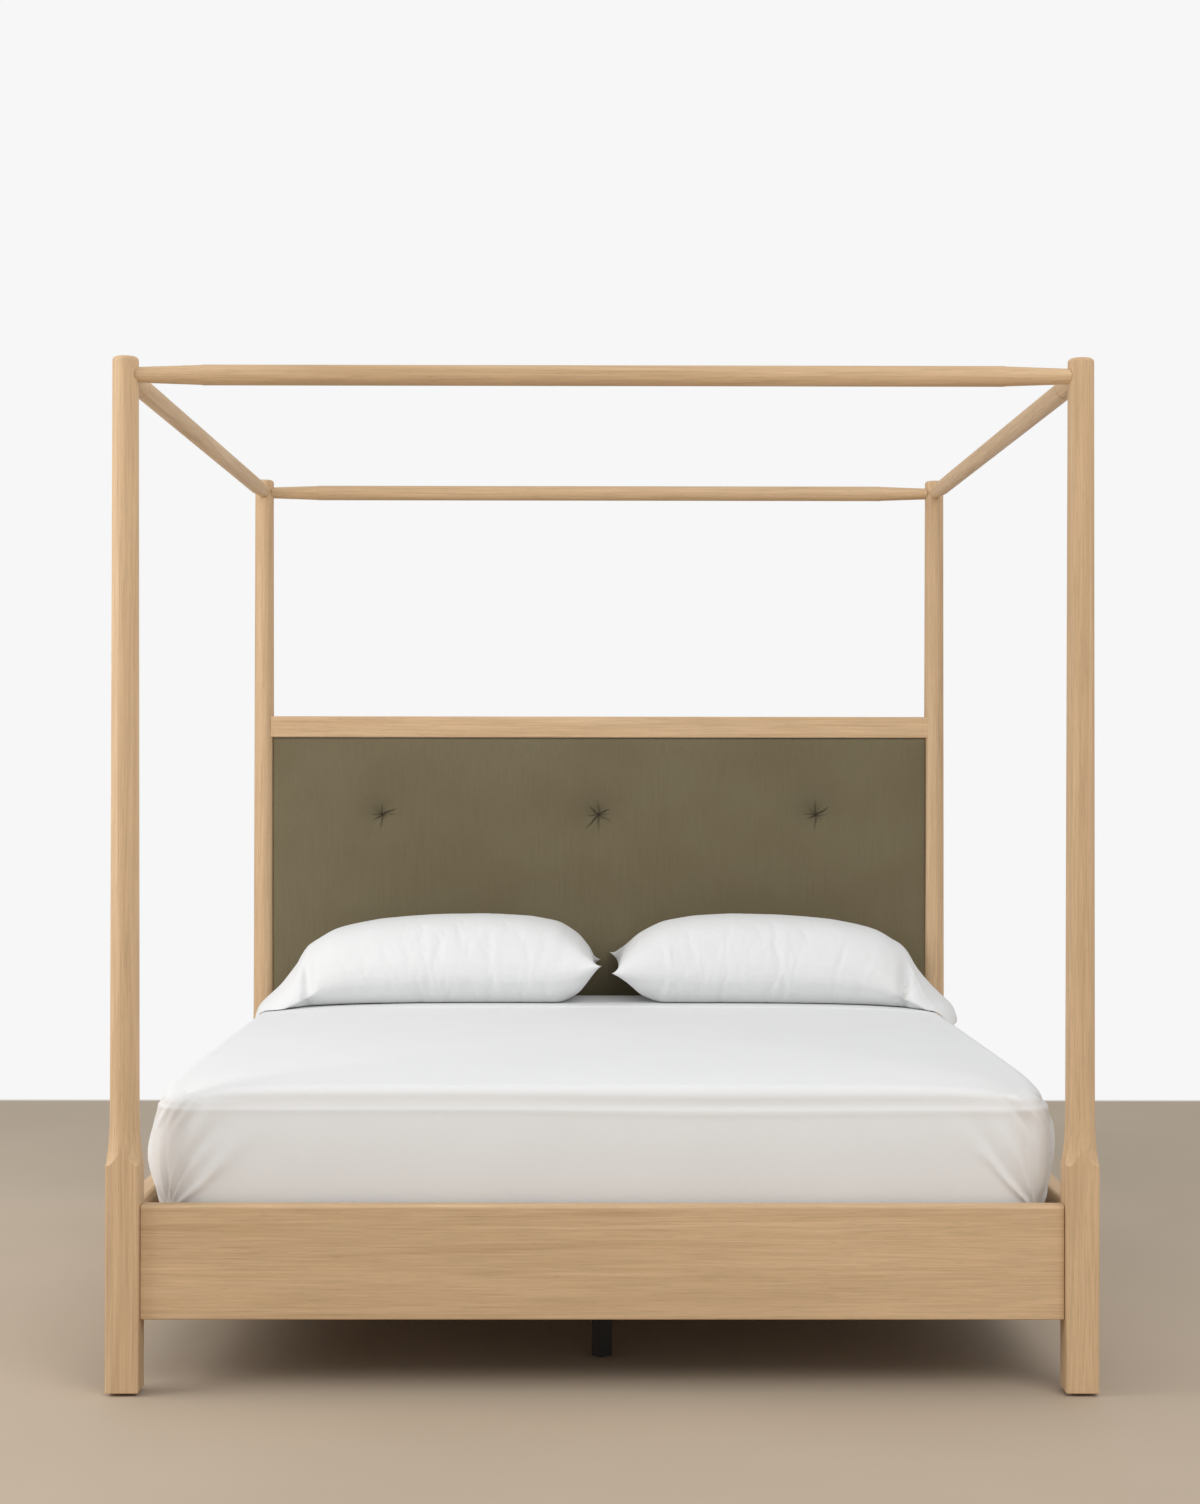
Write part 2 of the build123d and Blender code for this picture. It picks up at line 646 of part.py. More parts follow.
for name, (side, end) in CORNERS.items():
    save(f"{name}_post", post(side, end, blank))
for name, (x, y) in foot_places.items():
    save(f"{name}_glide", Pos(x, y, 0) * glide())

save("front_rail", cross_rail(-1))
save("rear_rail", cross_rail(1))
save("left_side_rail", side_rail(-1))
save("right_side_rail", side_rail(1))

rail_places = [joint for corner in CORNERS.values() for joint in rail_joints(*corner)]
save("rail_hook_plates", *[
    place * (hook_plate() - plate_screws()[2] - plate_screws()[3]) for place in rail_places
])
save("post_catch_plates", *[
    place * (catch_plate() - plate_screws()[0] - plate_screws()[1]) for place in rail_places
])
save("plate_screws", *[place * screw for place in rail_places for screw in plate_screws()])

cross_canopy = canopy_rail(POST_X)
side_canopy = Rot(0, 0, 90) * canopy_rail(POST_Y)
for name, end in (("front", -1), ("rear", 1)):
    rail = Pos(0, end * POST_Y, CANOPY_Z) * cross_canopy
    joints = [canopy_joints(side, end)[0] for side in (-1, 1)]
    ends = [blanks[f"{name}_left"], blanks[f"{name}_right"]]
    save(f"{name}_canopy_rail", fitted_canopy_rail(rail, ends, joints))
for name, side in (("left", -1), ("right", 1)):
    rail = Pos(side * POST_X, 0, CANOPY_Z) * side_canopy
    joints = [canopy_joints(side, end)[1] for end in (-1, 1)]
    ends = [blanks[f"front_{name}"], blanks[f"rear_{name}"]]
    save(f"{name}_canopy_rail", fitted_canopy_rail(rail, ends, joints))

canopy_places = [joint for corner in CORNERS.values() for joint in canopy_joints(*corner)]
stud = rod(BOLT_RADIUS, (INSERT_START + 1, 0, 0), (STUD_END, 0, 0))
save("canopy_studs", *[place * stud for place in canopy_places])
inserts = [place * Pos(INSERT_START, 0, 0) * threaded_insert() for place in canopy_places]
inserts += [Pos(x, y, GLIDE_HEIGHT) * upright(threaded_insert()) for x, y in foot_places.values()]
save("threaded_inserts", *inserts)

save("left_ledger", ledger(-1))
save("right_ledger", ledger(1))
for number, y in enumerate(slat_places(), 1):
    save(f"slat_{number:02d}", slat(y))
save("center_beam", center_beam())
save("beam_hangers", beam_hanger(-1), beam_hanger(1))
for name, y in LEG_PLACES.items():
    save(f"{name}_center_leg", center_leg(y))
save("leg_bolts", *[leg_bolt(y) for y in LEG_PLACES.values()])

screws = ledger_screws(-1) + ledger_screws(1) + hanger_screws(-1) + hanger_screws(1)
screws += [screw for y in slat_places() for screw in slat_screws(y)]
screws += panel_screws() + [mirrored(screw, -1, 1) for screw in panel_screws()]
save("wood_screws", *screws)

save("headboard_top_rail", headboard_top_rail(rear_blanks))
save("headboard_dowels", *headboard_dowels(), *[mirrored(dowel, -1, 1) for dowel in headboard_dowels()])
save("headboard_cover", headboard_cover(rear_blanks))
save("headboard_foam", headboard_foam())
save("headboard_board", headboard_board())
save("left_headboard_stile", headboard_stile(-1))
save("right_headboard_stile", headboard_stile(1))
save("headboard_rear_cloth", headboard_rear_cloth())
save("tuft_ties", *[tuft_tie(x) for x in TUFT_PLACES])
save("tuft_washers", *[tuft_washer(x) for x in TUFT_PLACES])

save("mattress", mattress_form(0))
save("fitted_sheet", fitted_sheet())
for name, side in (("left", -1), ("right", 1)):
    save(f"{name}_pillow", pillow_place(side) * mirrored(pillow_form(0), side, 1))
    save(f"{name}_pillowcase", pillowcase(side))
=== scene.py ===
"""Looks of the four poster canopy bed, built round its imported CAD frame. Units are metres."""
import fnmatch
import math

import bpy
import numpy as np
from mathutils import Matrix, Vector


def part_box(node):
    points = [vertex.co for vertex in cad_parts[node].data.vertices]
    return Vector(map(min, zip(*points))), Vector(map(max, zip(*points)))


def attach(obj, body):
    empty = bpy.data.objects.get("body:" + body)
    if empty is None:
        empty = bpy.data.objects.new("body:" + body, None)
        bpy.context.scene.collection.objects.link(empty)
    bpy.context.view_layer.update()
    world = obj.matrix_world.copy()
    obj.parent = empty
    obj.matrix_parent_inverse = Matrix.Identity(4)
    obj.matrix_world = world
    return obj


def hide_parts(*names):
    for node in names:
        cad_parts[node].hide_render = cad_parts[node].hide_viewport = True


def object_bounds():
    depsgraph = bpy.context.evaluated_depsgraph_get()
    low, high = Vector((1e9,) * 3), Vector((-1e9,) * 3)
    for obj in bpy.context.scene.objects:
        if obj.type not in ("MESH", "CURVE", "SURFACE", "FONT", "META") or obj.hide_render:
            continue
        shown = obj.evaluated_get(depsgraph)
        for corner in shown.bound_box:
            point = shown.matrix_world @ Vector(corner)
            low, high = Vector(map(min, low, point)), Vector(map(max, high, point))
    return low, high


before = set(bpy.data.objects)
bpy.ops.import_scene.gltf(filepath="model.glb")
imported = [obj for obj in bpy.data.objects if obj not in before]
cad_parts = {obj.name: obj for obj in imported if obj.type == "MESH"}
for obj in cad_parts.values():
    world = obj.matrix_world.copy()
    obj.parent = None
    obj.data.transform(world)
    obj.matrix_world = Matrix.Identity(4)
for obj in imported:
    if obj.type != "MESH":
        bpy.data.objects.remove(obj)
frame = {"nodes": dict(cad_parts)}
CAD_BOX = [list(corner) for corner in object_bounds()]
NODES = frame["nodes"]

# ---- places read from the frame ----
SHEET_LOW, SHEET_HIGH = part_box("fitted_sheet")
MATTRESS_LOW, MATTRESS_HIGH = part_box("mattress")
COVER_LOW, COVER_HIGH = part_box("headboard_cover")
TIE_LOW, TIE_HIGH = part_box("tuft_ties")
CLOTH_LOW, CLOTH_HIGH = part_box("headboard_rear_cloth")
REAR_POST_LOW, REAR_POST_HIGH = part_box("rear_right_post")
QUARTER = math.pi / 2


# ---- mesh helpers ----
def add_object(name, data):
    obj = bpy.data.objects.new(name, data)
    bpy.context.scene.collection.objects.link(obj)
    return obj


def new_object(name, vertices, faces, material):
    mesh = bpy.data.meshes.new(name)
    mesh.from_pydata([tuple(v) for v in vertices], [], [tuple(f) for f in faces])
    mesh.update()
    mesh.polygons.foreach_set("use_smooth", [True] * len(mesh.polygons))
    mesh.materials.append(material)
    return add_object(name, mesh)


def grid_faces(rows, columns):
    """Quads over a rows by columns grid of vertices."""
    first = np.arange(rows * columns).reshape(rows, columns)[:-1, :-1].reshape(-1, 1)
    return (first + (0, 1, 1 + columns, columns)).tolist()


def grid_rim(rows, columns):
    """Vertex numbers of a grid's rim in order, from its first corner."""
    n = np.arange(rows * columns).reshape(rows, columns)
    return np.concatenate([n[0], n[1:, -1], n[-1, -2::-1], n[-2:0:-1, 0]])


def with_rings(grid, shape, rings):
    """Points and faces of a grid and of rings of points that follow one another below its rim."""
    faces = grid_faces(*shape)
    upper = grid_rim(*shape)
    for number, ring in enumerate(rings):
        lower = len(grid) + number * len(ring) + np.arange(len(ring))
        faces += np.stack([np.roll(upper, -1), upper, lower, np.roll(lower, -1)], axis=-1).tolist()
        upper = lower
    return np.concatenate([grid, *rings]), faces


def set_all(target, **values):
    for key, value in values.items():
        setattr(target, key, value)
    return target


def add_modifier(obj, kind, **settings):
    return set_all(obj.modifiers.new(kind.title(), kind), **settings)


def smoothstep(low, high, value):
    t = np.clip((np.asarray(value, float) - low) / (high - low), 0, 1)
    return t * t * (3 - 2 * t)


def bell(value, width):
    return np.exp(-((np.asarray(value, float) / width) ** 2))


# ---- materials ----
def set_inputs(tree, target, inputs):
    """Link a node's inputs to sockets, or give them values."""
    for key, value in inputs.items():
        if isinstance(value, bpy.types.NodeSocket):
            tree.links.new(value, target.inputs[key])
        else:
            target.inputs[key].default_value = value


def node(tree, kind, inputs=None, **settings):
    made = set_all(tree.nodes.new(kind), **settings)
    set_inputs(tree, made, inputs or {})
    return made


def mix_shaders(tree, factor, first, second, output):
    """Send two shader nodes, mixed by a factor, to the tree's output node."""
    mixed = node(tree, "ShaderNodeMixShader", {0: factor, 1: first.outputs[0], 2: second.outputs[0]})
    set_inputs(tree, tree.nodes[output], {"Surface": mixed.outputs[0]})


def start_material(name):
    material = bpy.data.materials.new(name)
    material.use_nodes = True
    tree = material.node_tree
    return material, tree, tree.nodes["Principled BSDF"]


def object_space(tree, scale=1, place=(0, 0, 0)):
    """Object coordinates, scaled by a number or by one number for each axis."""
    if isinstance(scale, (int, float)):
        scale = (scale, scale, scale)
    vector = node(tree, "ShaderNodeTexCoord").outputs["Object"]
    mapping = {"Vector": vector, "Scale": scale, "Location": place}
    return node(tree, "ShaderNodeMapping", mapping).outputs["Vector"]


def grain_space(tree, axis, along, across, place=(0, 0, 0)):
    """Object coordinates stretched along one axis."""
    return object_space(tree, [along if name == axis else across for name in "xyz"], place)


def noise(tree, vector, detail=3.0, roughness=0.5, distortion=0.0):
    inputs = {"Vector": vector, "Scale": 1.0, "Detail": detail}
    inputs |= {"Roughness": roughness, "Distortion": distortion}
    return node(tree, "ShaderNodeTexNoise", inputs).outputs["Fac"]


def ramp(tree, value, *stops):
    """Colour ramp. Each stop is (position, grey level or colour)."""
    made = node(tree, "ShaderNodeValToRGB", {"Fac": value})
    elements = made.color_ramp.elements
    while len(elements) < len(stops):
        elements.new(0.5)
    for element, (position, colour) in zip(elements, stops):
        element.position = position
        if isinstance(colour, (int, float)):
            colour = (colour, colour, colour)
        element.color = (*colour, 1)
    return made.outputs["Color"]


def mix_colour(tree, factor, a, b, blend="MIX"):
    a, b = [(*colour, 1) if isinstance(colour, tuple) else colour for colour in (a, b)]
    inputs = {0: factor, 6: a, 7: b}
    return node(tree, "ShaderNodeMix", inputs, data_type="RGBA", blend_type=blend).outputs[2]


def shade(tree, base, amount, value, *stops):
    """Base colour multiplied, by some amount, with a ramp over a value."""
    return mix_colour(tree, amount, base, ramp(tree, value, *stops), "MULTIPLY")


def bump(tree, shader, *layers):
    """Chain of bumps. Each layer is (height socket, strength, distance in metres)."""
    below = {}
    for height, strength, distance in layers:
        inputs = {"Height": height, "Strength": strength, "Distance": distance}
        below = {"Normal": node(tree, "ShaderNodeBump", inputs | below).outputs["Normal"]}
    set_inputs(tree, shader, below)


def darker(colour, factor):
    return tuple(c * factor for c in colour)


def oak(name, axis, light=(0.715, 0.51, 0.315), dark=(0.585, 0.40, 0.23), pore_depth=1.0):
    """Straight-grained natural oak whose fibres run along one axis."""
    material, tree, shader = start_material(name)
    boards = noise(tree, grain_space(tree, axis, 0.5, 5.0), detail=2.0, distortion=0.4)
    figure = noise(tree, grain_space(tree, axis, 1.1, 38.0), detail=4.0, roughness=0.55, distortion=0.5)
    fibres = noise(tree, grain_space(tree, axis, 6.0, 320.0), roughness=0.6)
    pores = noise(tree, grain_space(tree, axis, 26.0, 900.0, (3, 5, 7)), detail=1.0)
    rings = ramp(tree, figure, (0.30, 0.0), (0.44, 0.75), (0.52, 0.35), (0.66, 1.0))
    base = mix_colour(tree, rings, dark, light)
    base = shade(tree, base, 1.0, boards, (0.3, (0.90, 0.88, 0.85)), (0.7, (1.05, 1.04, 1.03)))
    base = shade(tree, base, 0.85, fibres, (0.25, 0.80), (0.5, 1.0), (0.75, 1.09))
    pits = ramp(tree, pores, (0.28, 0.70), (0.40, 1.0))
    base = mix_colour(tree, 0.5, base, pits, "MULTIPLY")
    rough = ramp(tree, figure, (0.3, 0.62), (0.7, 0.50))
    set_inputs(tree, shader, {"Base Color": base, "Roughness": rough, "Specular IOR Level": 0.35})
    bump(tree, shader, (fibres, 0.25, 0.0006), (pits, 0.35 * pore_depth, 0.0005))
    return material


def weave(tree, pitch, axes):
    """Height of a plain weave whose threads cross at a pitch, banded along two axes."""
    threads = []
    for axis in axes:
        inputs = {"Vector": object_space(tree), "Scale": 0.5 / pitch, "Distortion": 0.35, "Detail": 1.0}
        wave = node(tree, "ShaderNodeTexWave", inputs, wave_type="BANDS", bands_direction=axis.upper())
        threads.append(wave.outputs["Fac"])
    return node(tree, "ShaderNodeMath", dict(enumerate(threads)), operation="MAXIMUM").outputs[0]


def upholstery(name):
    """Olive brown linen with upright slubs, with shade painted darker in the tufts' pits and folds and above
    each tuft.
    """
    material, tree, shader = start_material(name)
    cloudy = noise(tree, object_space(tree, 3.5))
    slubs = noise(tree, object_space(tree, (420, 420, 9)), detail=2.0)
    picks = noise(tree, object_space(tree, (40, 60, 600), (2, 0, 5)), detail=2.0)
    specks = noise(tree, object_space(tree, 160, (1, 4, 2)), detail=1.0)
    base = ramp(tree, cloudy, (0.35, (0.168, 0.138, 0.081)), (0.65, (0.184, 0.156, 0.095)))
    base = shade(tree, base, 0.4, slubs, (0.30, 0.86), (0.5, 1.0), (0.72, 1.12))
    base = shade(tree, base, 0.5, picks, (0.3, 0.92), (0.7, 1.06))
    base = shade(tree, base, 0.6, specks, (0.74, 1.0), (0.80, 1.35))
    # Painted shade: the colour goes towards near black where the tufts' pits, folds and the hollows above
    # them lie in shade.
    painted_shade = node(tree, "ShaderNodeAttribute", attribute_name="painted_shade").outputs["Fac"]
    base = mix_colour(tree, painted_shade, base, (0.050, 0.041, 0.025))
    set_inputs(tree, shader, {"Base Color": base, "Roughness": 0.92, "Specular IOR Level": 0.15})
    sheen = {"Sheen Weight": 0.25, "Sheen Roughness": 0.45, "Sheen Tint": (0.80, 0.76, 0.62, 1)}
    set_inputs(tree, shader, sheen)
    bump(tree, shader, (weave(tree, 0.0009, "xz"), 0.35, 0.0005), (slubs, 0.4, 0.0007))
    return material


def linen(name, creasing=1.0):
    """White percale with a fine weave and a trace of laundered creasing."""
    white = (0.80, 0.805, 0.808)
    material, tree, shader = start_material(name)
    soft = noise(tree, object_space(tree, 7))
    yarn = noise(tree, object_space(tree, 700), detail=1.0)
    base = ramp(tree, soft, (0.3, darker(white, 0.985)), (0.7, white))
    base = shade(tree, base, 0.5, yarn, (0.3, 0.97), (0.7, 1.02))
    set_inputs(tree, shader, {"Base Color": base, "Roughness": 0.85, "Specular IOR Level": 0.2})
    set_inputs(tree, shader, {"Sheen Weight": 0.15, "Sheen Roughness": 0.5})
    creases = noise(tree, object_space(tree, 18), roughness=0.6, distortion=0.6)
    bump(tree, shader, (weave(tree, 0.0006, "xy"), 0.2, 0.0003), (creases, 0.10 * creasing, 0.004))
    return material


def simple_material(name, scale, low, high, roughness, relief, detail=3.0, distortion=0.0, sheen=0.0):
    """Material whose colour and relief follow one noise. relief is its strength and depth."""
    material, tree, shader = start_material(name)
    grain = noise(tree, object_space(tree, scale), detail, distortion=distortion)
    base = ramp(tree, grain, (0.3, low), (0.7, high))
    set_inputs(tree, shader, {"Base Color": base, "Roughness": roughness, "Sheen Weight": sheen})
    bump(tree, shader, (grain, *relief))
    return material


def woven_cloth(name, colour):
    """Plain coarse cloth for the hidden side of things."""
    return simple_material(name, 240, darker(colour, 0.8), darker(colour, 1.15), 0.9, (0.4, 0.0008))


def ticking(name):
    """Knitted off-white cover of the mattress and of the pillows' filling."""
    low, high = (0.70, 0.69, 0.66), (0.80, 0.79, 0.76)
    return simple_material(name, 420, low, high, 0.88, (0.35, 0.0006), detail=2.0, sheen=0.2)


def plywood(name):
    """Sheet wood whose wandering grain runs across the bed."""
    low, high = (0.50, 0.35, 0.20), (0.66, 0.50, 0.31)
    scale = (1.2, 30, 30)
    return simple_material(name, scale, low, high, 0.7, (0.2, 0.0004), detail=4.0, distortion=1.4)


def moulded(name, colour, roughness):
    material, tree, shader = start_material(name)
    speck = noise(tree, object_space(tree, 600), detail=2.0)
    base = ramp(tree, speck, (0.3, darker(colour, 0.85)), (0.7, colour))
    rough = ramp(tree, speck, (0.3, roughness - 0.08), (0.7, roughness + 0.08))
    set_inputs(tree, shader, {"Base Color": base, "Roughness": rough})
    bump(tree, shader, (speck, 0.15, 0.0002))
    return material


def metal(name, colour, roughness, metallic):
    material, tree, shader = start_material(name)
    wear = noise(tree, object_space(tree, 90), detail=4.0)
    base = ramp(tree, wear, (0.35, darker(colour, 0.82)), (0.65, colour))
    rough = ramp(tree, wear, (0.3, roughness + 0.1), (0.7, roughness - 0.06))
    set_inputs(tree, shader, {"Base Color": base, "Roughness": rough, "Metallic": metallic})
    bump(tree, shader, (wear, 0.08, 0.0003))
    return material


OAK = {axis: oak(f"oak_{axis}", axis) for axis in "xyz"}
PALE = {axis: oak(f"slat_wood_{axis}", axis, (0.72, 0.56, 0.36), (0.62, 0.45, 0.26), 0.4) for axis in "xyz"}
UPHOLSTERY = upholstery("olive_linen")
SHEET_LINEN = linen("sheet_percale")
CASE_LINEN = linen("pillowcase_percale", creasing=1.4)
TICKING = ticking("cotton_ticking")


def paint(patterns, material):
    """Give a material to the nodes whose names match any of the patterns."""
    for pattern in patterns.split():
        for name in fnmatch.filter(NODES, pattern):
            slots = NODES[name].data.materials
            slots.clear()
            slots.append(material)


def paint_frame():
    paint("*_post", OAK["z"])
    paint("front_rail rear_rail headboard_top_rail front_canopy_rail rear_canopy_rail", OAK["x"])
    paint("*_side_rail left_canopy_rail right_canopy_rail", OAK["y"])
    paint("slat_* headboard_dowels", PALE["x"])
    paint("*_ledger center_beam", PALE["y"])
    paint("*_headboard_stile", PALE["z"])
    black = oak("black_painted_wood", "z", (0.030, 0.027, 0.024), (0.018, 0.016, 0.014), 0.5)
    paint("*_center_leg", black)
    paint("headboard_board", plywood("birch_plywood"))
    paint("*_glide", moulded("black_nylon", (0.02, 0.02, 0.02), 0.5))
    steel = metal("black_steel", (0.03, 0.03, 0.032), 0.5, metallic=0.0)
    paint("rail_hook_plates post_catch_plates beam_hangers", steel)
    zinc = metal("zinc_steel", (0.62, 0.62, 0.60), 0.35, metallic=1.0)
    paint("*_screws canopy_studs threaded_inserts leg_bolts tuft_washers", zinc)
    paint("tuft_ties", woven_cloth("waxed_twine", (0.20, 0.17, 0.10)))


# ---- headboard upholstery ----
ANCHOR_RADIUS = 0.008  # anchor at the outer end of each tuft's tie
TUFT_HEIGHT = (TIE_LOW.z + TIE_HIGH.z) / 2
TUFT_REACH = (TIE_HIGH.x - TIE_LOW.x) / 2 - ANCHOR_RADIUS
TUFT_AREA = 0.075  # radius of the finely meshed area round a tuft
TUFT_STEP = 0.0013  # mesh step inside it
PLAIN_STEP = 0.016  # mesh step elsewhere
PIT = (0.0045, 0.0050)  # depth and radius of the pit at the tie
HOLLOWS = ((0.0030, 0.014), (0.0125, 0.044))  # depth and reach of the hollows round it
UPPER_HOLLOW = (0.0040, 0.045)  # the same for the further hollow above it
FOLD_STRETCH = 1.15  # folds are this much longer than drawn
FOLD_DEEPENING = 1.35  # and this much deeper
SHADE_PER_METRE = 90  # how much painted shade a fold's depth gives it
PANEL_EDGE = 0.012  # radius of the upholstered edge
PANEL_PUFF = 0.0062  # how far the foam pushes the cover out
COVER_SIDE_GAP = 0.0015
COVER_SKIN = 0.0004  # cover to whatever it passes closest
POST_X = (REAR_POST_LOW.x + REAR_POST_HIGH.x) / 2
POST_Y = (REAR_POST_LOW.y + REAR_POST_HIGH.y) / 2
SHAFT_START = 0.48  # height where the post's round shaft starts
SHAFT_RADIUS = 0.0328  # radius round the post's axis that the cover keeps out of, from there
SHAFT_TAPER = 0.0042  # how much less it is at the top of the post
FLARE_TOP = 0.60  # below this the shaft flares
FLARE_RADIUS = 0.0355  # the same radius below it
SHAFT_GAP = 0.0006
CLOTH_HEM = 0.004  # dust cloth's edge inside its place in the frame
STAPLE_PITCH = 0.06

# Each tuft's folds: (direction in degrees, length, depth).
TUFT_FOLDS = (
    ((22, 0.048, 0.0046), (4, 0.044, 0.0022), (150, 0.026, 0.0020), (178, 0.038, 0.0024),
     (218, 0.030, 0.0040), (268, 0.048, 0.0034), (92, 0.034, 0.0028), (330, 0.020, 0.0016)),
    ((28, 0.040, 0.0044), (64, 0.026, 0.0018), (94, 0.044, 0.0030), (142, 0.042, 0.0044),
     (184, 0.040, 0.0026), (227, 0.058, 0.0052), (270, 0.056, 0.0036), (328, 0.050, 0.0036),
     (0, 0.034, 0.0020)),
    ((30, 0.046, 0.0048), (90, 0.050, 0.0034), (136, 0.026, 0.0022), (176, 0.040, 0.0028),
     (212, 0.028, 0.0036), (268, 0.052, 0.0034), (322, 0.026, 0.0022), (352, 0.030, 0.0020)),
)


def panel_steps(low, high, centres):
    """Places from low to high, close together near the centres and round the rolled edges."""
    places = [low]
    while places[-1] < high - TUFT_STEP / 2:
        near = min(abs(places[-1] - c) for c in centres)
        plain = float(smoothstep(TUFT_AREA * 0.55, TUFT_AREA * 1.6, near))
        step = TUFT_STEP + (PLAIN_STEP - TUFT_STEP) * plain
        places.append(min(high, places[-1] + step))
    rolled = [PANEL_EDGE * (1 - math.cos(a)) for a in np.linspace(0, QUARTER, 6)[1:-1]]
    return np.unique(places + [low + r for r in rolled] + [high - r for r in rolled])


def from_tuft(x, z, index):
    """Offsets, distance and direction from one tuft."""
    dx, dz = x - (index - 1) * TUFT_REACH, z - TUFT_HEIGHT
    return dx, dz, np.hypot(dx, dz), np.arctan2(dz, dx)


def across_fold(r, angle, degrees):
    """Distance from a fold's line, and whether it is on the fold's side of the tuft."""
    turn = np.angle(np.exp(1j * (angle - math.radians(degrees))))
    return r * np.sin(np.clip(turn, -QUARTER, QUARTER)), np.cos(turn) > 0


def tuft_offset(x, z):
    """How far the cover is pulled in at the tufts, in metres."""
    pulled = np.zeros_like(x)
    for index, folds in enumerate(TUFT_FOLDS):
        _, dz, r, angle = from_tuft(x, z, index)
        pulled += PIT[0] * bell(r, PIT[1])
        for depth, reach in HOLLOWS:
            pulled += depth * np.exp(-r / reach)
        above = 0.5 + 0.5 * np.tanh(dz / 0.02)
        depth, reach = UPPER_HOLLOW
        pulled += depth * above * np.exp(-r / reach) * smoothstep(0.0, 0.02, r)
        for degrees, length, depth in folds:
            across, ahead = across_fold(r, angle, degrees)
            across = np.abs(across + 0.0018 * np.sin(r / length * 5 + degrees))
            width = 0.0012 + 0.04 * r
            length = length * FOLD_STRETCH
            along = smoothstep(0.0, 0.005, r) * (1 - smoothstep(length * 0.35, length, r))
            valley = np.exp(-across / width)
            shoulder = bell(across - 2.6 * width, 1.6 * width)
            fold = FOLD_DEEPENING * depth * along * (valley - 0.30 * shoulder)
            pulled += np.where(ahead, fold, 0)
    return pulled


def tuft_painted_shade(x, z):
    """Painted shade at the tufts, along their folds and above each tuft, from 0 to 1."""
    painted_dark = np.zeros_like(x)
    for index, folds in enumerate(TUFT_FOLDS):
        dx, dz, r, angle = from_tuft(x, z, index)
        # Painted shade above and to the left of each tuft, where the cover faces down away from the light,
        # and in each pit.
        rise = dz - 0.012
        shadow = np.hypot(dx + 0.008, np.where(rise < 0, 2 * rise, rise))
        painted_dark += 0.65 * np.exp(-r / 0.009) + 0.30 * np.exp(-shadow / 0.042)
        # Painted shade in the valley of each fold.
        for degrees, length, depth in folds:
            across, ahead = across_fold(r, angle, degrees)
            along = 1 - smoothstep(length * 0.35, length * FOLD_STRETCH, r)
            valley = np.exp(-np.abs(across) / (0.0012 + 0.02 * r))
            painted_dark += np.where(ahead, SHADE_PER_METRE * depth * along * valley, 0)
    return np.clip(painted_dark, 0, 1)


def fit_to_post(points):
    """X of points pushed in towards the bed where a rear post's round shaft would cut them."""
    x, y, z = points.T
    height = (z - SHAFT_START) / (REAR_POST_HIGH.z - SHAFT_START)
    radius = np.where(z < FLARE_TOP, FLARE_RADIUS, SHAFT_RADIUS - SHAFT_TAPER * height) + SHAFT_GAP
    reach = np.sqrt(np.maximum(radius**2 - (y - POST_Y) ** 2, 0))
    return np.clip(x, -(POST_X - reach), POST_X - reach)


def make_headboard_cover():
    half_x = COVER_HIGH.x - COVER_SIDE_GAP
    low, high = COVER_LOW.z, COVER_HIGH.z - COVER_SKIN
    xs = panel_steps(-half_x, half_x, [i * TUFT_REACH for i in (-1, 0, 1)])
    grid_x, grid_z = np.meshgrid(xs, panel_steps(low, high, [TUFT_HEIGHT]))
    side = np.minimum(grid_x + half_x, half_x - grid_x)
    top = np.minimum(high - grid_z, grid_z - low)
    t = np.clip(1 - np.minimum(side, top) / PANEL_EDGE, 0, 1)
    back = PANEL_EDGE * (1 - np.sqrt(1 - t * t))
    puff = PANEL_PUFF * (1 - np.exp(-side / 0.05)) * (1 - np.exp(-top / 0.05))
    ripple = 0.0006 * np.sin(grid_x * 9.0 + 1.3) * np.sin(grid_z * 7.0 + 0.4)
    front = COVER_LOW.y + 0.0016 - puff + ripple + back + tuft_offset(grid_x, grid_z)
    front = np.minimum(front, TIE_LOW.y - COVER_SKIN)
    points = np.stack([grid_x, front, grid_z], axis=-1).reshape(-1, 3)
    rim = points[grid_rim(*grid_x.shape)]
    to_back = np.outer(COVER_HIGH.y - rim[:, 1], (0, 1, 0))
    shape, faces = with_rings(points, grid_x.shape, [rim + share * to_back for share in (0.35, 0.7, 1.0)])
    shape[:, 0] = fit_to_post(shape)
    cover = new_object("headboard_upholstery", shape, faces, UPHOLSTERY)
    # Painted shade of the tufts, kept on the cover's points for its material.
    painted_shade = cover.data.attributes.new("painted_shade", "FLOAT", "POINT")
    painted_shade.data.foreach_set("value", tuft_painted_shade(shape[:, 0], shape[:, 2]).astype(np.float32))
    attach(cover, "frame")
    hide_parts("headboard_cover", "headboard_foam")


